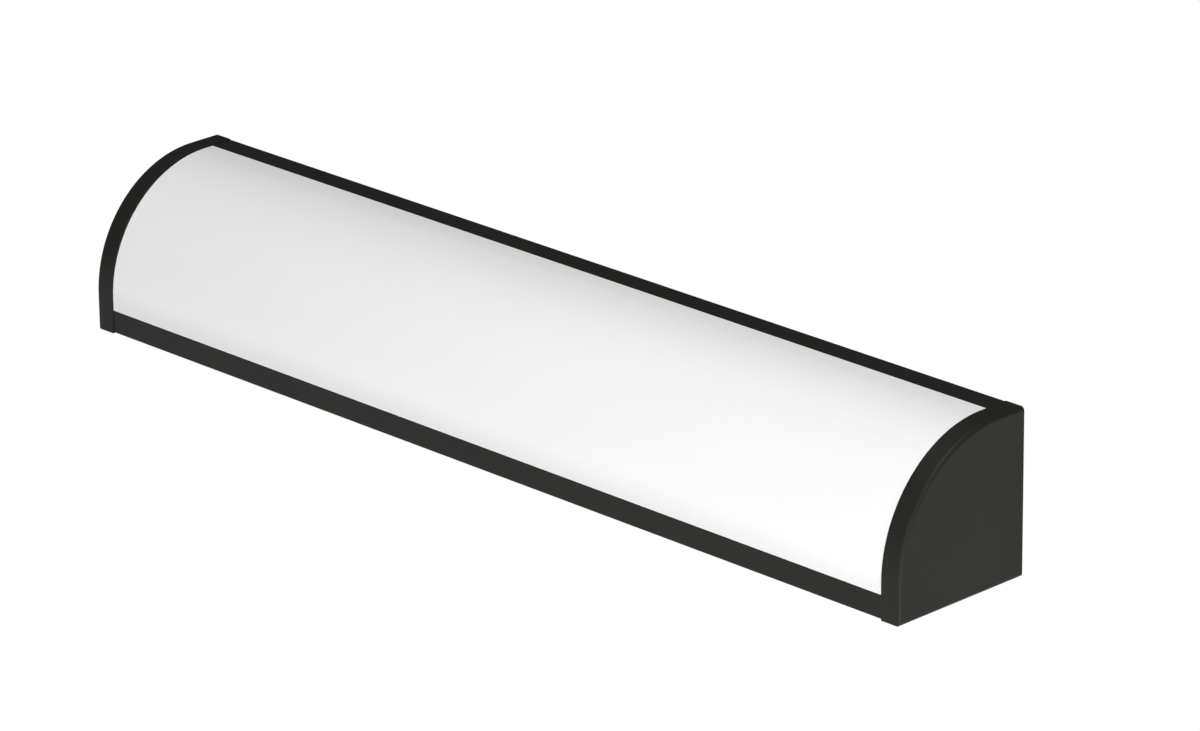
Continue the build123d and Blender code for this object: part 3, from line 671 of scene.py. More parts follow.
def make_finishes():
    """Every finish; a spread is how far its tone varies, and rough is its roughness from low to high."""
    coat, metal = coat_group(), metal_group()
    black = tuple(colours().coat)
    opal = tuple(colours().lens)

    def sprayed(name, colour, spread=0.08, rough=(0.4, 0.5), peel=700.0, bump=(0.2, 0.02 * MM), **fixed):
        values = {**tones(colour, spread, rough), "Peel Scale": peel}
        MATERIALS[name] = surface(name, coat, values, bump, **fixed)

    def plated(name, colour, spread=0.12, rough=(0.28, 0.42), cells=160.0, share=0.4, **fixed):
        values = {**tones(colour, spread, rough), "Cell Scale": cells, "Cell Share": share}
        MATERIALS[name] = surface(name, metal, values, (0.15, 0.02 * MM), 1.0, **fixed)

    sprayed("Black Coat", black, 0.1, (0.42, 0.5), 520.0, (0.22, 0.03 * MM), specular_ior_level=0.12)
    # painted shade on the lens: the lens colour a tenth darker, strongest at the lower lip and gone LIP_SHADE
    # higher
    sheet = opal_group(LOWER_LIP, LIP_SHADE)
    values = {**tones(opal, 0.006, (0.3, 0.36)), "Lip": tint(opal, 0.9)}
    lens = surface("Opal Acrylic", sheet, values, (0.06, 0.02 * MM), specular_ior_level=0.35)
    MATERIALS["Opal Acrylic"] = lens
    sprayed("White Enamel", (0.84, 0.84, 0.82), 0.02, (0.28, 0.36), 420.0)
    sprayed("Driver Paint", (0.72, 0.72, 0.7), 0.03, (0.4, 0.5), 600.0)
    sprayed("Dark Plastic", (0.035, 0.035, 0.037), 0.12, (0.45, 0.6), 1500.0)
    sprayed("Board Mask", (0.83, 0.84, 0.83), 0.015, (0.22, 0.3), 900.0)
    sprayed("Chip Frame", (0.8, 0.8, 0.78), 0.02, (0.4, 0.5), 1800.0)
    sprayed("Phosphor", (0.86, 0.62, 0.1), 0.06, (0.3, 0.42), 2600.0)
    sprayed("Natural Nylon", (0.74, 0.72, 0.66), 0.03, (0.38, 0.5), 1100.0)
    sprayed("Ivory Nylon", (0.66, 0.62, 0.5), 0.03, (0.4, 0.52), 1000.0)
    sprayed("Black Nylon", (0.02, 0.02, 0.02), 0.12, (0.45, 0.58), 1300.0)
    sprayed("Rubber", (0.016, 0.016, 0.016), 0.15, (0.62, 0.75), 1500.0)
    sprayed("Black Wire", (0.018, 0.018, 0.018), 0.1, (0.34, 0.42), 1600.0)
    sprayed("White Wire", (0.72, 0.72, 0.7), 0.02, (0.34, 0.42), 1600.0)
    sprayed("Green Wire", (0.02, 0.19, 0.05), 0.06, (0.34, 0.42), 1600.0)
    sprayed("Red Wire", (0.42, 0.015, 0.012), 0.06, (0.34, 0.42), 1600.0)
    plated("Zinc Sheet", (0.58, 0.59, 0.59), 0.12, (0.34, 0.48), 130.0, 0.5)
    plated("Zinc Screw", (0.66, 0.66, 0.62), 0.08, (0.22, 0.34), 900.0, 0.2)
    plated("Tin Plate", (0.7, 0.69, 0.66), 0.06, (0.25, 0.35), 900.0, 0.2)
    plated("Green Screw", (0.08, 0.34, 0.14), 0.1, (0.28, 0.4), 900.0, 0.2)
    plated("Black Screw", (0.06, 0.06, 0.062), 0.15, (0.34, 0.46), 900.0, 0.2)


# ---------------------------------------------------------------- cover
INSIDE_REACH = 8 * MM  # how far the caps' pegs and ribs reach into the bar
ROOT = 0.5 * MM  # how far an inner part is sunk into the wall that carries it
PORT_RADIUS, PORT_WALL = 3 * MM, 1.5 * MM
PEG_RADIUS = 1.45 * MM
TAB_REACH, TAB_HALF, TAB_WALL = 3.9 * MM, 6 * MM, 2.5 * MM
SINK_WIDE, SINK_NARROW, SINK_DEPTH = 3.45 * MM, 0.95 * MM, 2.5 * MM
NOTCH_RADIUS = 2.4 * MM
HOOK_WALL = 1.2 * MM
SEAT_RADIUS, CHANNEL_RADIUS, CHANNEL_WALL = 1.4 * MM, 2.3 * MM, 0.9 * MM
CHANNEL_OPEN = (36, 238)
BELOW = (-50 * MM, -40 * MM)  # heights between which a cutter clears the lower rail's web


def round_slab(name, inset, x_from, x_to, back):
    """Solid with the housing's side outline, drawn in by inset."""
    front, top = FRONT + inset, TOP - inset
    slab = block(name, (x_from, front, BOTTOM + inset), (x_to, back, top))
    edit(slab)
    pick("EDGE", lambda co: near(co.y, front) and near(co.z, top))
    round_off(sizes().arc_radius - inset, 56)
    return close(slab)


def trim(tube, centre, start, stop):
    """Keep the faces of a tube along the bar that lie between two angles in degrees."""

    def outside(face):
        away = face.calc_center_median() - centre
        return not start <= math.degrees(math.atan2(away.z, away.y)) % 360 <= stop

    edit(tube)
    choose("FACE", outside)
    bpy.ops.mesh.delete(type="FACE")
    bpy.ops.object.mode_set(mode="OBJECT")


def arc_strip(name, radius, wall, x_from, x_to, start, stop, steps):
    """Curved wall about the housing's arc centre, between two angles in degrees."""
    centre = Vector((0, FRONT + sizes().arc_radius, TOP - sizes().arc_radius))
    tube = rod(name, (x_from, centre.y, centre.z), (x_to, centre.y, centre.z), radius, steps, "NOTHING")
    trim(tube, centre, start - 1, stop + 1)
    return thicken(tube, wall, -1)


def make_cap():
    """Right end cap: rounded outer edge, hollow inside, rib, pegs and screw tab."""
    size = sizes()
    cap = round_slab("end_cap_right_shell", 0, CAP_INNER, BAR_END, BACK)
    edit(cap)

    def outer_rim(edge):
        spots = [corner.co for corner in edge.verts]
        at_wall = all(near(co.y, BACK) for co in spots)
        return all(near(co.x, BAR_END) for co in spots) and not at_wall

    choose("EDGE", outer_rim)
    round_off(size.cap_edge, 8)
    close(cap)
    inside_end = BAR_END - size.cap_wall
    cut(cap, round_slab("hollow", size.cap_wall, CAP_INNER - MM, inside_end, BACK + MM))
    break_edges(cap, 0.35 * MM, 3)
    rib_radius = size.arc_radius - (TOP - SKIN_TOP) - size.lens_sheet - 0.3 * MM
    start, stop = CAP_INNER - INSIDE_REACH, inside_end + ROOT
    parts = [arc_strip("rib", rib_radius, 2 * MM, start, stop, 96, 174, 240)]
    for y, z in PORTS:
        parts.append(rod("boss", (CAP_INNER, y, z), (stop, y, z), PORT_RADIUS))
        parts.append(rod("peg", (start, y, z), (CAP_INNER + MM, y, z), PEG_RADIUS, 32))
    hole = middles("cap_screws")[1]
    web_top = SKIN_BOTTOM + size.rail_sheet
    tab = block(
        "tab",
        (hole.x - TAB_REACH, hole.y - TAB_HALF, web_top),
        (CAP_INNER + 4 * MM, hole.y + TAB_HALF, web_top + TAB_WALL),
    )
    cut(tab, rod("tab_hole", (hole.x, hole.y, -0.06), (hole.x, hole.y, 0), SHANK_RADIUS, 24))
    parts.append(tab)
    for part in parts:
        break_edges(part)
    return join(cap, *parts)


class LIGHTBAR_OT_end_caps(bpy.types.Operator):
    """Model the two hollow end caps"""

    bl_idname = "lightbar.end_caps"
    bl_label = "End Caps"

    def execute(self, context):
        cap = make_cap()
        twin = copy_at(cap, "end_cap_left_shell", Matrix.Scale(-1, 4, (1, 0, 0)))
        edit(twin)
        close(twin)
        smooth(twin)
        coat = finish_of("Black Coat")
        place(cap, "cover", coat, "black_finish", "end_cap_right")
        place(twin, "cover", coat, "black_finish", "end_cap_left")
        return {"FINISHED"}


def port_tube(name, port):
    """Round port along a rail, for the end caps' pegs."""
    y, z = port
    tube = rod(name, (-CAP_INNER, y, z), (CAP_INNER, y, z), PORT_RADIUS, 40, "NOTHING")
    return thicken(tube, PORT_WALL, -1)


def make_lower_rail():
    """Front strip and bottom web, with notches for the cover's screws, lens ridge and port."""
    size = sizes()
    path = [(SKIN_FRONT, LOWER_LIP), (SKIN_FRONT, SKIN_BOTTOM), (BACK, SKIN_BOTTOM)]
    rail = ribbon("lower_rail_extrusion", path, CAP_INNER)
    face_out(rail, (0, -1, 0))
    round_folds(rail, path, {1: 0.5 * MM}, 4)
    thicken(rail, size.rail_sheet, -1)
    for middle in middles("cover_screw_left", "cover_screw_right"):
        foot, crown = (Vector((middle.x, middle.y, height)) for height in BELOW)
        notch = rod("notch", foot, crown, NOTCH_RADIUS, 32)
        half = Vector((NOTCH_RADIUS, 0, 0))
        cut(rail, notch, block("slot", foot - half, (crown.x + half.x, 0, crown.z)))
    for middle in middles("cap_screws"):
        select_none()
        bpy.ops.mesh.primitive_cone_add(
            vertices=48,
            radius1=SINK_WIDE,
            radius2=SINK_NARROW,
            depth=SINK_DEPTH,
            location=(middle.x, middle.y, SKIN_BOTTOM + 0.75 * MM),
        )
        cut(rail, settle(bpy.context.object))
    ridge_y = SKIN_FRONT + size.rail_sheet + size.lens_sheet + 2 * SEAT
    ridge_low = SKIN_BOTTOM + 0.5 * size.rail_sheet
    ridge = block(
        "ridge",
        (-CAP_INNER, ridge_y, ridge_low),
        (CAP_INNER, ridge_y + HOOK_WALL, LOWER_LIP - 2.5 * MM),
    )
    port = port_tube("port", PORTS[0])
    for part in (rail, ridge, port):
        break_edges(part)
    return join(rail, ridge, port)


def make_upper_rail():
    """Top strip with the lens hook, the port and the channel that hangs on the pan's bead."""
    size = sizes()
    under = SKIN_TOP - size.rail_sheet
    rail = block("upper_rail_extrusion", (-CAP_INNER, UPPER_LIP, under), (CAP_INNER, BACK, SKIN_TOP))
    cut(rail, rod("seat", (-0.3, HINGE.y, HINGE.z), (0.3, HINGE.y, HINGE.z), SEAT_RADIUS, 72))
    hook_back = UPPER_LIP + 6 * MM + HOOK_WALL
    hook_low = under - size.lens_sheet - 2 * SEAT - HOOK_WALL
    hook_tip = UPPER_LIP + 1.8 * MM
    hook_path = [(hook_back, under + 0.3 * MM), (hook_back, hook_low), (hook_tip, hook_low)]
    hook = ribbon("hook", hook_path, CAP_INNER)
    face_out(hook, (0, 1, 0))
    thicken(hook, HOOK_WALL, -1)
    ends = [(side * CAP_INNER, HINGE.y, HINGE.z) for side in (-1, 1)]
    channel = rod("channel", *ends, CHANNEL_RADIUS, 180, "NOTHING")
    trim(channel, HINGE, *CHANNEL_OPEN)
    thicken(channel, CHANNEL_WALL, -1)
    port = port_tube("port", PORTS[1])
    for part in (rail, hook, port):
        break_edges(part)
    smooth(channel)
    return join(rail, hook, channel, port)


class LIGHTBAR_OT_rails(bpy.types.Operator):
    """Model the upper and lower rails"""

    bl_idname = "lightbar.rails"
    bl_label = "Rails"

    def execute(self, context):
        coat = finish_of("Black Coat")
        place(make_lower_rail(), "cover", coat, "black_finish", "lower_rail")
        place(make_upper_rail(), "cover", coat, "black_finish", "upper_rail")
        return {"FINISHED"}


class LIGHTBAR_OT_lens(bpy.types.Operator):
    """Model the curved opal lens with its two hooked edges"""

    bl_idname = "lightbar.lens"
    bl_label = "Lens"

    def execute(self, context):
        size = sizes()
        low = LOWER_LIP + SEAT
        rear = UPPER_LIP - SEAT
        tongue_y = SKIN_FRONT + size.rail_sheet + SEAT
        tongue_z = SKIN_TOP - size.rail_sheet - SEAT
        path = [
            (tongue_y, LENS_LOW.z),
            (tongue_y, low),
            (SKIN_FRONT, low),
            (SKIN_FRONT, SKIN_TOP),
            (rear, SKIN_TOP),
            (rear, tongue_z),
            (LENS_HIGH.y, tongue_z),
        ]
        lens = ribbon("diffuser_lens_shell", path, LENS_HIGH.x)
        face_out(lens, (0, -1, 0))
        round_folds(lens, path, {3: size.arc_radius - (TOP - SKIN_TOP)}, 64)
        thicken(lens, size.lens_sheet, -1)
        break_edges(lens, 0.25 * MM, 3)
        place(lens, "cover", finish_of("Opal Acrylic"), "opal_acrylic", "diffuser_lens")
        return {"FINISHED"}


# ---------------------------------------------------------------- wall pan and tray
FIT, LOOSE, NUT_ROOM = 0.05 * MM, 0.55 * MM, 3.75 * MM
PAN_SHEET, PAN_BEND = 1.0 * MM, 1.5 * MM
NECK_TURN = math.radians(292)
BEAD_RADIUS = 1.3 * MM
BUSHING_HOLE, BUSHING_TUBE, BUSHING_BORE = 9 * MM, 8.8 * MM, 7 * MM
BUSHING_RING = (-2.6 * MM, -1.0 * MM)


def drill(piece, middle, extra=FIT, axis="Y"):
    """Round hole through a sheet for a screw's shank, with some room round it."""
    step = Vector((0, 4 * MM, 0)) if axis == "Y" else Vector((0, 0, 4 * MM))
    cut(piece, rod("hole", middle - step, middle + step, SHANK_RADIUS + extra, 32))


def make_pan():
    """Folded wall sheet with its holes, and the bead that the cover hangs on."""
    flange_z = PAN_LOW.z + PAN_SHEET / 2
    wall_y = -PAN_SHEET / 2
    foot = (wall_y, HINGE.z + (wall_y - HINGE.y) * math.tan(NECK_TURN))
    path = [(PAN_LOW.y, flange_z), (wall_y, flange_z), foot, (HINGE.y, HINGE.z)]
    pan = ribbon("back_pan_sheet", path, PAN_HIGH.x)
    round_folds(pan, path, {1: PAN_BEND, 2: PAN_BEND}, 5)
    thicken(pan, PAN_SHEET, 0)
    reach = Vector((0, 3 * MM, 0))
    for mount in frame["record"]["mounts"]:
        dims = mount["dims"]
        spots = [Vector(mount["pos_m"])]
        spacing = dims.get("spacing_x_mm", 0) * MM
        radius = dims.get("hole_r_mm", 0) * MM
        if spacing:
            spots = [spots[0] + Vector((side * spacing / 2, 0, 0)) for side in (-1, 1)]
        for spot in spots:
            if mount["name"] == "wire_entry":
                cut(pan, rod("knockout", spot - reach, spot + reach, BUSHING_HOLE, 64))
            if mount["name"] == "anchor_holes":
                cut(pan, rod("anchor", spot - reach, spot + reach, radius, 40))
            if mount["name"] == "junction_box_slots":
                run = dims["slot_length_mm"] * MM / 2 - radius
                half = reach + Vector((run, 0, radius))
                middle = block("slot", spot - half, spot + half)
                ends = [spot + Vector((side * run, 0, 0)) for side in (-1, 1)]
                rounds = [rod("slot_end", end - reach, end + reach, radius, 40) for end in ends]
                cut(pan, middle, *rounds)
    for middle in middles("driver_screws"):
        drill(pan, middle)
    for middle in middles("ground_screw"):
        drill(pan, middle, LOOSE)
    for middle in middles("tray_screws"):
        drill(pan, middle, axis="Y" if middle.z > 0 else "Z")
    for middle in middles("cover_screw_left", "cover_screw_right"):
        drill(pan, middle, LOOSE, "Z")
    break_edges(pan, 0.15 * MM)
    ends = [(x, HINGE.y, HINGE.z) for x in (PAN_LOW.x, PAN_HIGH.x)]
    bead = rod("bead", *ends, BEAD_RADIUS, 56)
    break_edges(bead, 0.3 * MM)
    return join(pan, bead)


def make_bushing():
    """Flanged bushing in the wire entry."""
    low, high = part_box("wire_bushing")
    start, stop = ((0, y, 0) for y in BUSHING_RING)
    flange = rod("wire_bushing_ring", start, stop, (high.x - low.x) / 2, 72)
    cut(flange, rod("tube", (0, low.y, 0), (0, 0, 0), BUSHING_TUBE, 72), mode="UNION")
    cut(flange, rod("bore", (0, -0.02, 0), (0, 0.02, 0), BUSHING_BORE, 72))
    return break_edges(flange, 0.5 * MM, 3)


class LIGHTBAR_OT_pan(bpy.types.Operator):
    """Model the wall pan and the wire entry's bushing"""

    bl_idname = "lightbar.pan"
    bl_label = "Wall Pan"

    def execute(self, context):
        place(make_pan(), "wall_pan", finish_of("Zinc Sheet"), "zinc_steel", "back_pan")
        place(make_bushing(), "wall_pan", finish_of("Black Nylon"), "black_nylon", "wire_bushing")
        return {"FINISHED"}


TRAY_SHEET, TRAY_BEND = 0.8 * MM, 1.4 * MM
GROMMET_X, GROMMET_ALONG = 260.5 * MM, -20.5 * MM
GROMMET_HOLE, GROMMET_WAIST = 4 * MM, 3.95 * MM
GROMMET_RING, GROMMET_BORE = 5.4 * MM, 2.4 * MM


def slope_matrix(along=0.0, lift=0.0, x=0.0):
    """Place on the tray's slope, counted from the middle of the lamp boards' undersides."""
    low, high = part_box("led_board_right")
    middle = Vector((0, (low.y + high.y) / 2, (low.z + high.z) / 2))
    turn = Matrix.Rotation(SLOPE_TURN, 4, "X")
    return Matrix.Translation(middle) @ turn @ Matrix.Translation((x, along, lift - TRAY_SHEET))


def tilted_rod(name, x, along, low, high, radius, sides=40):
    """Round bar that stands on the slope."""
    start = slope_matrix(along, low, x).translation
    end = slope_matrix(along, high, x).translation
    return rod(name, start, end, radius, sides)


def grommet_rod(name, low, high, radius, sides):
    """Round bar on the grommet's axis."""
    return tilted_rod(name, GROMMET_X, GROMMET_ALONG, low * MM, high * MM, radius, sides)


def make_tray():
    """Folded reflector sheet that carries the lamp boards on its slope."""
    top_y = TRAY_HIGH.y - TRAY_SHEET / 2
    foot_z = TRAY_LOW.z + TRAY_SHEET / 2
    path = [
        (top_y, TRAY_HIGH.z),
        (top_y, 15 * MM),
        (top_y - 40 * MM, -25 * MM),
        (-22 * MM, foot_z),
        (-3.4 * MM, foot_z),
    ]
    tray = ribbon("led_tray_sheet", path, TRAY_HIGH.x)
    round_folds(tray, path, {fold: TRAY_BEND for fold in (1, 2, 3)}, 5)
    thicken(tray, TRAY_SHEET, 0)
    for middle in middles("tray_screws"):
        drill(tray, middle, axis="Y" if middle.z > 0 else "Z")
    for middle in middles("screw_nuts"):
        drill(tray, middle, NUT_ROOM, "Z")
    for middle in middles("board_screws"):
        step = Vector((0, -3 * MM, 3 * MM))
        cut(tray, rod("hole", middle - step, middle + step, BOARD_HOLE, 24))
    cut(tray, grommet_rod("hole", -4, 4, GROMMET_HOLE, 40))
    return break_edges(tray, 0.12 * MM)


def make_grommet():
    """Grommet that grips the tray between its two rings."""
    faces = ((-2.0, -0.8), (0.0, 1.2))
    rings = [grommet_rod("ring", low, high, GROMMET_RING, 56) for low, high in faces]
    waist = grommet_rod("tray_grommet_ring", -1.0, 0.2, GROMMET_WAIST, 56)
    cut(waist, *rings, mode="UNION")
    cut(waist, grommet_rod("bore", -5, 5, GROMMET_BORE, 40))
    return break_edges(waist, 0.4 * MM, 3)


class LIGHTBAR_OT_tray(bpy.types.Operator):
    """Model the white tray and its grommet"""

    bl_idname = "lightbar.tray"
    bl_label = "Lamp Tray"

    def execute(self, context):
        place(make_tray(), "wall_pan", finish_of("White Enamel"), "white_enamel", "led_tray")
        place(make_grommet(), "wall_pan", finish_of("Rubber"), "black_rubber", "tray_grommet")
        return {"FINISHED"}


# ---------------------------------------------------------------- lamp boards
BOARD_HALF = 9 * MM
BOARD_THICK = 1.6 * MM
BOARD_SCREW_X = 110 * MM
BOARD_SCREW_ALONG = 5.8 * MM
BOARD_HOLE = 1.05 * MM
PAD_LOW, PAD_HIGH = 1.58 * MM, 1.64 * MM
CHIP_HIGH = 0.7 * MM
PORT_ALONG = -5.4 * MM


def board_hole(x):
    """Cutter for a screw hole in a lamp board that lies flat."""
    return rod("hole", (x, BOARD_SCREW_ALONG, -MM), (x, BOARD_SCREW_ALONG, 3 * MM), BOARD_HOLE, 24)


def make_board(node):
    """Lamp board with round corners and two screw holes, laid on the slope."""
    low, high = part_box(node)
    middle = (low.x + high.x) / 2
    half = (high.x - low.x) / 2
    board = block(f"{node}_plate", (-half, -BOARD_HALF, 0), (half, BOARD_HALF, BOARD_THICK))
    edit(board)
    choose("EDGE", lambda edge: span(edge).z > MM)
    round_off(1.0 * MM)
    close(board)
    for side in (-1, 1):
        cut(board, board_hole(side * BOARD_SCREW_X))
    break_edges(board, 0.1 * MM)
    board.matrix_world = slope_matrix(x=middle)
    return settle(board)


def make_pads(node):
    """Bare tinned pads and rings on one board."""
    low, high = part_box(node)
    middle = (low.x + high.x) / 2
    pads = []
    for side in (-1, 1):
        x, y = side * BOARD_SCREW_X, BOARD_SCREW_ALONG
        ring = rod("pad", (x, y, PAD_LOW), (x, y, PAD_HIGH), 2.6 * MM, 32)
        cut(ring, rod("hole", (x, y, MM), (x, y, 2 * MM), 1.1 * MM, 24))
        pads.append(ring)
        x = side * (high.x - low.x) / 2 - side * 4.6 * MM
        for y in (2.6 * MM, 6.6 * MM):
            half = Vector((2 * MM, 1.2 * MM, 0))
            pads.append(block("pad", Vector((x, y, PAD_LOW)) - half, Vector((x, y, PAD_HIGH)) + half))
    joined = join(pads[0], *pads[1:])
    joined.name = f"{node}_pads"
    smooth(joined)
    joined.matrix_world = slope_matrix(x=middle)
    return settle(joined)


def make_chips(node):
    """White frames of the lamp chips on one board, and the phosphor in them."""
    frames, cores = [], []
    frame_one = block("chip", (-1.75 * MM, -1.4 * MM, 0), (1.75 * MM, 1.4 * MM, CHIP_HIGH))
    edit(frame_one)
    pick("FACE", lambda co: near(co.z, CHIP_HIGH))
    bpy.ops.mesh.inset(thickness=0.32 * MM, depth=0)
    bpy.ops.mesh.inset(thickness=0.12 * MM, depth=-0.25 * MM)
    close(frame_one)
    smooth(frame_one)
    core_one = rod("core", (0, 0, 0.3 * MM), (0, 0, 0.56 * MM), 0.9 * MM, 20)
    core_one.scale = (1.32, 0.98, 1)
    settle(core_one)
    break_edges(core_one, 0.06 * MM, 1)
    for middle in middles(node):
        matrix = slope_matrix(lift=BOARD_THICK, x=middle.x)
        frames.append(copy_at(frame_one, "chip", matrix))
        cores.append(copy_at(core_one, "core", matrix))
    bpy.data.objects.remove(frame_one)
    bpy.data.objects.remove(core_one)
    chips = join(frames[0], *frames[1:])
    chips.name = f"{node}_frames"
    phosphor = join(cores[0], *cores[1:])
    phosphor.name = f"{node}_phosphor"
    return chips, phosphor


def make_connectors():
    """Push-in connectors with two release slots each."""
    housings = []
    for middle in middles("board_connectors"):
        corner = Vector((3.5, 2.8, 3.6)) * MM
        housing = block("board_connector_housings", (-corner.x, -corner.y, 0), corner)
        break_edges(housing, 0.3 * MM)
        for side in (-1, 1):
            y = side * 1.25 * MM
            slot_low = (-2.2 * MM, y - 0.45 * MM, 2.9 * MM)
            cut(housing, block("slot", slot_low, (1.0 * MM, y + 0.45 * MM, 5 * MM)))
        housing.matrix_world = slope_matrix(PORT_ALONG, BOARD_THICK, middle.x)
        housings.append(smooth(settle(housing)))
    return join(housings[0], *housings[1:])


class LIGHTBAR_OT_boards(bpy.types.Operator):
    """Model the lamp boards, their chips and their connectors"""

    bl_idname = "lightbar.boards"
    bl_label = "Lamp Boards"

    def execute(self, context):
        for side in ("left", "right"):
            board = f"led_board_{side}"
            place(make_board(board), "wall_pan", finish_of("Board Mask"), "white_board", board)
            place(make_pads(board), "wall_pan", finish_of("Tin Plate"), "tinned_copper")
            chips, phosphor = make_chips(f"led_chips_{side}")
            place(chips, "wall_pan", finish_of("Chip Frame"), "lamp_chip", f"led_chips_{side}")
            place(phosphor, "wall_pan", finish_of("Phosphor"), "lamp_chip")
        housings = make_connectors()
        place(housings, "wall_pan", finish_of("Natural Nylon"), "white_nylon", "board_connectors")
        return {"FINISHED"}


# ---------------------------------------------------------------- driver and terminals
VENTS, VENT_PITCH, VENT_START = 9, 4 * MM, 14 * MM
VENT_HALF = Vector((0.7 * MM, 0, 8 * MM))
END_WALL, EAR_REACH, EAR_THICK, EAR_HALF = 4 * MM, 12 * MM, 2 * MM, 4.5 * MM
GROOVE_HALF, WELL_RADIUS, WELL_DEPTH = 0.6 * MM, 2.05 * MM, 3.5 * MM
POLE_Y = -7 * MM


def make_driver_case():
    """Driver's steel case with a row of vents in its front."""
    low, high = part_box("driver_case")
    case = block("driver_case_shell", low, high)
    edit(case)
    choose("EDGE", lambda edge: near(edge.verts[0].co.y, low.y) and span(edge).x > MM)
    round_off(1.5 * MM)
    close(case)
    for step in range(VENTS):
        x, z = high.x - VENT_START - step * VENT_PITCH, (low.z + high.z) / 2
        outside, inside = Vector((x, low.y - MM, z)), Vector((x, low.y + 0.8 * MM, z))
        cut(case, block("vent", outside - VENT_HALF, inside + VENT_HALF))
    return break_edges(case, 0.2 * MM)


def make_driver_ends():
    """Moulded ends with an ear for the screw."""
    ends = []
    case_low, case_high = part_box("driver_case")
    holes = middles("driver_screws")
    for index, (low, high) in enumerate(solids("driver_ends")):
        outward = -1 if index == 0 else 1
        face = case_low.x if index == 0 else case_high.x
        outer = face + outward * END_WALL
        start, stop = sorted((face, outer))
        body = block("driver_end_mouldings", (start, low.y, low.z), (stop, high.y, high.z))
        hole = holes[index]
        tip = outer + outward * EAR_REACH
        start, stop = sorted((outer, tip))
        ear_low = (start, high.y - EAR_THICK, hole.z - EAR_HALF)
        ear = block("ear", ear_low, (stop, high.y, hole.z + EAR_HALF))
        edit(ear)
        choose("EDGE", lambda edge: near(edge.verts[0].co.x, tip) and span(edge).y > MM)
        round_off(1.6 * MM)
        close(ear)
        drill(ear, hole)
        break_edges(body, 0.5 * MM, 3)
        break_edges(ear, 0.2 * MM)
        ends.append(join(body, ear))
    return join(ends[0], *ends[1:])


class LIGHTBAR_OT_driver(bpy.types.Operator):
    """Model the driver"""

    bl_idname = "lightbar.driver"
    bl_label = "Driver"

    def execute(self, context):
        paint, plastic = finish_of("Driver Paint"), finish_of("Dark Plastic")
        place(make_driver_case(), "wall_pan", paint, "driver_steel", "driver_case")
        place(make_driver_ends(), "wall_pan", plastic, "driver_plastic", "driver_ends")
        return {"FINISHED"}


def make_terminal_block():
    """Three-pole block with screw wells, wire ports and grooves between its poles."""
    low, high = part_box("terminal_block")
    housing = block("terminal_block_housing", low, high)
    wells = middles("terminal_screws")
    rows = sorted({round(middle.z, 4) for middle in wells})
    for one, two in zip(rows, rows[1:]):
        z = (one + two) / 2
        groove_low = (low.x - MM, low.y - MM, z - GROOVE_HALF)
        cut(housing, block("groove", groove_low, (high.x + MM, low.y + 3 * MM, z + GROOVE_HALF)))
    for middle in wells:
        mouth = Vector((middle.x, low.y, middle.z))
        floor = mouth + Vector((0, WELL_DEPTH, 0))
        cut(housing, rod("well", mouth - Vector((0, MM, 0)), floor, WELL_RADIUS, 32))
    for z in rows:
        for start, stop, radius in (
            (high.x - 5 * MM, high.x + MM, 1.15 * MM),
            (low.x - MM, low.x + 5 * MM, 1.5 * MM),
        ):
            cut(housing, rod("port", (start, POLE_Y, z), (stop, POLE_Y, z), radius, 24))
    return break_edges(housing, 0.25 * MM)


class LIGHTBAR_OT_terminals(bpy.types.Operator):
    """Model the terminal block and finish the earth fittings"""

    bl_idname = "lightbar.terminals"
    bl_label = "Terminals"

    def execute(self, context):
        housing = make_terminal_block()
        place(housing, "wall_pan", finish_of("Ivory Nylon"), "terminal_nylon", "terminal_block")
        dress("terminal_screws", finish_of("Zinc Screw"))
        dress("ground_lug", finish_of("Tin Plate"))
        dress("ground_screw", finish_of("Green Screw"))
        dress("cap_screws", finish_of("Black Screw"))
        return {"FINISHED"}


# ---------------------------------------------------------------- wires
LEAD_RADIUS, LAMP_LEAD_RADIUS = 1.1, 0.6


def slope_point(x, along, lift):
    """Point over the slope in millimetres; lift is counted from the tray's middle line."""
    return slope_matrix(along * MM, (lift - 0.4) * MM, x * MM).translation / MM


def feed_route(side):
    """One of the two leads from the driver to the right board's connector."""
    return [
        (245.0, -9.0 + side, -30.0),
        (251.0 + 1.2 * side, -9.0 + side, -30.0),
        slope_point(260.5 + 0.9 * side, -20.5, -10.0),
        slope_point(260.5 + 0.9 * side, -20.5, 6.0),
        slope_point(268.0 + 1.4 * side, -13.2, 4.0),
        slope_point(268.0 + 1.4 * side, -8.2, 4.0),
    ]


def jumper_route(along):
    """One of the two wires between the boards, with a low hump over the gap."""
    humps = ((-11.5, 4.0), (-7.0, 4.0), (0, 6.4), (7.0, 4.0), (11.5, 4.0))
    return [slope_point(x, along, lift) for x, lift in humps]


LINE_ROUTE = [
    (75.0, -9.0, -32.0),
    (60.0, -9.0, -32.0),
    (22.0, -6.6, -35.6),
    (-18.0, -6.0, -36.2),
    (-50.0, -7.0, -32.0),
    (-74.0, -7.0, -32.0),
]
NEUTRAL_ROUTE = [
    (75.0, -13.0, -30.0),
    (62.0, -13.0, -30.0),
    (26.0, -10.8, -31.2),
    (-14.0, -9.6, -29.6),
    (-52.0, -7.0, -24.0),
    (-74.0, -7.0, -24.0),
]
GROUND_ROUTE = [
    (14.0, -3.0, -23.0),
    (3.0, -3.0, -23.0),
    (-26.0, -5.0, -21.0),
    (-52.0, -7.0, -16.0),
    (-74.0, -7.0, -16.0),
]


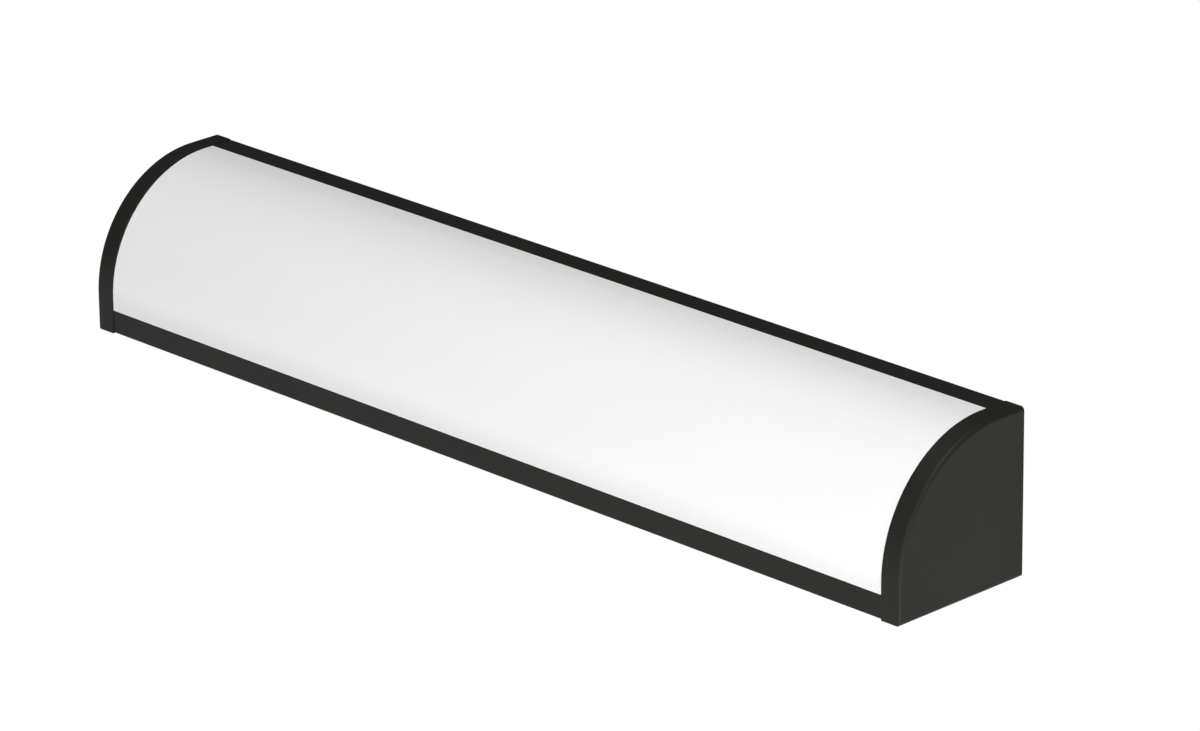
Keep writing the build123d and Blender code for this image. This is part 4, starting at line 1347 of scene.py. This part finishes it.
def make_wire(name, routes, radius):
    """Insulated wires on smooth curves through their routes."""
    runs = []
    for route in routes:
        curve = bpy.data.curves.new(name, "CURVE")
        curve.dimensions = "3D"
        curve.bevel_depth = radius * MM
        curve.bevel_resolution = 5
        curve.resolution_u = 10
        curve.use_fill_caps = True
        spline = curve.splines.new("NURBS")
        spline.points.add(len(route) - 1)
        for point, spot in zip(spline.points, route):
            point.co = (*(Vector(spot) * MM), 1)
        spline.order_u = 3
        spline.use_endpoint_u = True
        run = bpy.data.objects.new(name, curve)
        bpy.context.scene.collection.objects.link(run)
        only(run)
        bpy.ops.object.convert(target="MESH")
        runs.append(bpy.context.object)
    wire = join(runs[0], *runs[1:]) if len(runs) > 1 else runs[0]
    edit(wire)
    bpy.ops.mesh.select_all(action="SELECT")
    bpy.ops.mesh.remove_doubles(threshold=0.001 * MM)
    close(wire)
    return smooth(wire, 50)


class LIGHTBAR_OT_wires(bpy.types.Operator):
    """Lay the wires inside the pan and on the tray"""

    bl_idname = "lightbar.wires"
    bl_label = "Wires"

    def execute(self, context):
        wires = (
            ("line_wire", [LINE_ROUTE], LEAD_RADIUS, "black"),
            ("neutral_wire", [NEUTRAL_ROUTE], LEAD_RADIUS, "white"),
            ("ground_wire", [GROUND_ROUTE], LEAD_RADIUS, "green"),
            ("led_wire_positive", [feed_route(1)], LAMP_LEAD_RADIUS, "red"),
            ("led_wire_negative", [feed_route(-1)], LAMP_LEAD_RADIUS, "black"),
            ("jumper_wires", [jumper_route(-6.4), jumper_route(-4.4)], LAMP_LEAD_RADIUS, "white"),
        )
        for node, routes, radius, colour in wires:
            wire = make_wire(f"{node}_run", routes, radius)
            finish = finish_of(f"{colour.title()} Wire")
            place(wire, "wall_pan", finish, f"{colour}_wire", node)
        return {"FINISHED"}


# ---------------------------------------------------------------- fixings
PAN_HEAD, SMALL_HEAD = (3 * MM, 1.9 * MM), (2.1 * MM, 1.3 * MM)  # radius and height
KNURL_SIDES, KNURL_RADIUS, KNURL_DEPTH = 96, 5.0 * MM, 0.29 * MM
KNOB_HEIGHT, KNOB_SHANK = 4 * MM, 1.95 * MM


def pan_screw(head_radius, head_height, shank_radius, length):
    """Round-headed cross-recess screw that stands on its shank, head at the top."""
    head = rod("screw", (0, 0, 0), (0, 0, head_height), head_radius, 40)
    edit(head)
    pick("EDGE", lambda co: near(co.z, head_height))
    round_off(head_height * 0.6)
    close(head)
    reach, half = head_radius * 0.58, head_radius * 0.12
    floor = head_height * 0.45
    cut(head, block("recess", (-reach, -half, floor), (reach, half, head_height + MM)))
    cut(head, block("recess", (-half, -reach, floor), (half, reach, head_height + MM)))
    break_edges(head, 0.06 * MM, 1)
    shank = rod("shank", (0, 0, -length), (0, 0, 0.1 * MM), shank_radius, 24)
    break_edges(shank, 0.15 * MM, 1)
    return join(head, shank)


def screws_at(name, pattern, matrices):
    """Copies of one screw, brought together as one piece."""
    copies = [copy_at(pattern, name, matrix) for matrix in matrices]
    bpy.data.objects.remove(pattern)
    return smooth(join(copies[0], *copies[1:]))


def facing(spot, direction, spin):
    """Place at a spot with +Z along a direction, spun about it."""
    turn = Vector(direction).to_track_quat("Z", "Y").to_matrix().to_4x4()
    return Matrix.Translation(spot) @ turn @ Matrix.Rotation(spin, 4, "Z")


def make_knurled_screw(node):
    """Thumb screw: knurled head with a coin slot, and a plain shank."""
    low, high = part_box(node)
    middle = (low + high) / 2
    head_top = low.z + KNOB_HEIGHT
    foot, crown = (middle.x, middle.y, low.z), (middle.x, middle.y, head_top)
    head = rod(f"{node}_knob", foot, crown, KNURL_RADIUS - 0.3 * MM, KNURL_SIDES)

    def ridge(face):
        away = face.calc_center_median() - middle
        step = int((math.atan2(away.y, away.x) + math.pi) / math.tau * KNURL_SIDES)
        return len(face.verts) == 4 and step % 4 < 2

    edit(head)
    choose("FACE", ridge)
    bpy.ops.mesh.inset(thickness=0.12 * MM, depth=KNURL_DEPTH)
    close(head)
    slot_low = (middle.x - 3.5 * MM, middle.y - 0.55 * MM, low.z - MM)
    slot_high = (middle.x + 3.5 * MM, middle.y + 0.55 * MM, low.z + 1.2 * MM)
    cut(head, block("slot", slot_low, slot_high))
    break_edges(head, 0.12 * MM, 2, 50)
    root = (middle.x, middle.y, head_top - 0.2 * MM)
    shank = rod("shank", root, (middle.x, middle.y, high.z), KNOB_SHANK, 32)
    break_edges(shank, 0.3 * MM)
    return join(head, shank)


class LIGHTBAR_OT_fixings(bpy.types.Operator):
    """Model the screws and nuts"""

    bl_idname = "lightbar.fixings"
    bl_label = "Fixings"

    def execute(self, context):
        zinc = finish_of("Zinc Screw")
        tray = []
        for index, (low, high) in enumerate(solids("tray_screws")):
            middle = (low + high) / 2
            length = 1.7 * MM
            spot = facing((middle.x, -1.8 * MM, middle.z), (0, -1, 0), 0.4 + index)
            if high.z < 0:
                seat = TRAY_LOW.z + 0.8 * MM
                length = seat - low.z
                spot = facing((middle.x, middle.y, seat), (0, 0, 1), 0.7 + index)
            screw = pan_screw(*PAN_HEAD, SHANK_RADIUS, length)
            tray.append(screws_at("tray_screw_set", screw, [spot]))
        place(join(*tray), "wall_pan", zinc, "zinc_screw", "tray_screws")
        spots = []
        for index, middle in enumerate(middles("driver_screws")):
            spots.append(facing((middle.x, -3 * MM, middle.z), (0, -1, 0), 0.2 + index))
        pattern = pan_screw(*PAN_HEAD, SHANK_RADIUS, 2.9 * MM)
        driver = screws_at("driver_screw_set", pattern, spots)
        place(driver, "wall_pan", zinc, "zinc_screw", "driver_screws")
        spots = []
        for index, middle in enumerate(middles("board_screws")):
            turn = Matrix.Rotation(0.5 + index, 4, "Z")
            spots.append(slope_matrix(BOARD_SCREW_ALONG, BOARD_THICK, middle.x) @ turn)
        pattern = pan_screw(*SMALL_HEAD, 1.0 * MM, 4.0 * MM)
        board = screws_at("board_screw_set", pattern, spots)
        place(board, "wall_pan", zinc, "zinc_screw", "board_screws")
        nuts = []
        for low, high in solids("screw_nuts"):
            middle = (low + high) / 2
            nut = rod("screw_nut_pair", (0, 0, low.z), (0, 0, high.z), 4.0 * MM, 6)
            turn = Matrix.Rotation(math.radians(30), 4, "Z")
            nut.matrix_world = Matrix.Translation((middle.x, middle.y, 0)) @ turn
            settle(nut)
            cut(nut, rod("bore", (middle.x, middle.y, -0.05), (middle.x, middle.y, -0.03), 2.0 * MM, 32))
            nuts.append(break_edges(nut, 0.35 * MM, 3))
        place(join(*nuts), "wall_pan", zinc, "zinc_screw", "screw_nuts")
        for side in ("left", "right"):
            node = f"cover_screw_{side}"
            knob = make_knurled_screw(node)
            place(knob, f"{side}_cover_screw", finish_of("Black Screw"), "black_screw", node)
        return {"FINISHED"}


# ---------------------------------------------------------------- stage
VIEW_AZIMUTH = 45.7004
VIEW_ELEVATION = 20.8714
VIEW_ROLL = math.radians(-0.6504)
VIEW_DISTANCE = 37.4213
VIEW_LENS = 195.7
VIEW_SIDE = 0.3724
FLOOR_SIZE, FLOOR_LEVEL = 200, -6
SOFTBOXES = (
    # name, azimuth, elevation, distance and size
    ("top_light", 0, 80, 2.5, 1.4),
    ("right_light", 70, -25, 1.3, 0.8),
    ("front_light", 30, 10, 1.3, 0.8),
    ("fill_light", 60, 45, 1.3, 0.8),
)
WHITE = (1, 1, 1, 1)


def direction(azimuth, elevation):
    """Way out from the bar, in degrees; azimuth 0 is in front of it and 90 on its right."""
    a, e = math.radians(azimuth), math.radians(elevation)
    return Vector((math.sin(a) * math.cos(e), -math.cos(a) * math.cos(e), math.sin(e)))


def aim_camera():
    """Long lens on the bar's right front, a little above it; distances are in bar heights."""
    height = TOP - BOTTOM
    target = Vector((0, BACK - height / 2, (TOP + BOTTOM) / 2))
    back = direction(VIEW_AZIMUTH, VIEW_ELEVATION)
    level = direction(VIEW_AZIMUTH + 90, 0)
    upright = back.cross(level)
    right = level * math.cos(VIEW_ROLL) + upright * math.sin(VIEW_ROLL)
    up = upright * math.cos(VIEW_ROLL) - level * math.sin(VIEW_ROLL)
    spot = target + (back * VIEW_DISTANCE + right * VIEW_SIDE) * height
    turn = Matrix((right, up, back)).transposed().to_euler()
    bpy.ops.object.camera_add(location=spot, rotation=turn)
    camera = bpy.context.object
    camera.data.sensor_width = 36
    camera.data.lens = VIEW_LENS
    camera.data.clip_start = 0.1
    camera.data.clip_end = 100
    bpy.context.scene.camera = camera


def add_softbox(name, azimuth, elevation, distance, size, power):
    """Square soft light aimed at the bar."""
    away = direction(azimuth, elevation)
    middle = Vector((0, (FRONT + BACK) / 2, 0))
    turn = away.to_track_quat("Z", "Y").to_euler()
    bpy.ops.object.light_add(type="AREA", location=middle + away * distance, rotation=turn)
    light = bpy.context.object
    light.name = name
    light.data.shape = "SQUARE"
    light.data.size = size
    light.data.energy = power
    light.visible_camera = False


class LIGHTBAR_OT_stage(bpy.types.Operator):
    """Set up the floor, the lights and the camera"""

    bl_idname = "lightbar.stage"
    bl_label = "Stage"

    def execute(self, context):
        look = colours()
        scene = context.scene
        scene.view_settings.view_transform = "Standard"
        select_none()
        bpy.ops.mesh.primitive_plane_add(size=FLOOR_SIZE, location=(0, 0, FLOOR_LEVEL))
        floor = settle(context.object)
        floor.name = "floor"
        pale = bpy.data.materials.new("Pale Floor")
        pale.use_nodes = True
        settings = {
            "Base Color": (0.5, 0.5, 0.5, 1),
            "Roughness": 1.0,
            "Specular IOR Level": 0.0,
            "Emission Color": WHITE,
            "Emission Strength": look.floor,
        }
        for name, value in settings.items():
            pale.node_tree.nodes["Principled BSDF"].inputs[name].default_value = value
        floor.data.materials.append(pale)
        world = bpy.data.worlds.new("room")
        scene.world = world
        world.use_nodes = True
        tree = world.node_tree
        path = new_node(tree, "ShaderNodeLightPath")
        light, backdrop = (
            new_node(tree, "ShaderNodeBackground", {"Color": WHITE, "Strength": strength})
            for strength in (look.sky, look.backdrop)
        )
        either = new_node(tree, "ShaderNodeMixShader")
        sources = (path.outputs["Is Camera Ray"], light.outputs[0], backdrop.outputs[0])
        for source, socket in zip(sources, either.inputs):
            tree.links.new(source, socket)
        tree.links.new(either.outputs[0], tree.nodes["World Output"].inputs["Surface"])
        for name, *setting in SOFTBOXES:
            add_softbox(name, *setting, getattr(look, name))
        aim_camera()
        return {"FINISHED"}


# ---------------------------------------------------------------- panel and registration
MAKERS = (
    LIGHTBAR_OT_stage,
    LIGHTBAR_OT_end_caps,
    LIGHTBAR_OT_rails,
    LIGHTBAR_OT_lens,
    LIGHTBAR_OT_pan,
    LIGHTBAR_OT_tray,
    LIGHTBAR_OT_boards,
    LIGHTBAR_OT_driver,
    LIGHTBAR_OT_terminals,
    LIGHTBAR_OT_wires,
    LIGHTBAR_OT_fixings,
)


class LIGHTBAR_PT_panel(bpy.types.Panel):
    """Sizes, colours and the makers of each group of pieces"""

    bl_idname = "LIGHTBAR_PT_panel"
    bl_label = "Light Bar"
    bl_space_type = "VIEW_3D"
    bl_region_type = "UI"
    bl_category = "Light Bar"

    def draw(self, context):
        for group in (context.scene.light_bar_sizes, context.scene.light_bar_colours):
            for name in group.__annotations__:
                self.layout.prop(group, name)
        for maker in MAKERS:
            self.layout.operator(maker.bl_idname)


CLASSES = (LightBarSizes, LightBarColours, *MAKERS, LIGHTBAR_PT_panel)


def register():
    for item in CLASSES:
        bpy.utils.register_class(item)
    bpy.types.Scene.light_bar_sizes = bpy.props.PointerProperty(type=LightBarSizes)
    bpy.types.Scene.light_bar_colours = bpy.props.PointerProperty(type=LightBarColours)


def unregister():
    del bpy.types.Scene.light_bar_colours
    del bpy.types.Scene.light_bar_sizes
    for item in reversed(CLASSES):
        bpy.utils.unregister_class(item)


def main():
    register()
    for maker in MAKERS:
        area, _, name = maker.bl_idname.partition(".")
        result = getattr(getattr(bpy.ops, area), name)()
        if "FINISHED" not in result:
            raise RuntimeError(f"{maker.bl_label} did not finish")


if __name__ == "__main__":
    main()
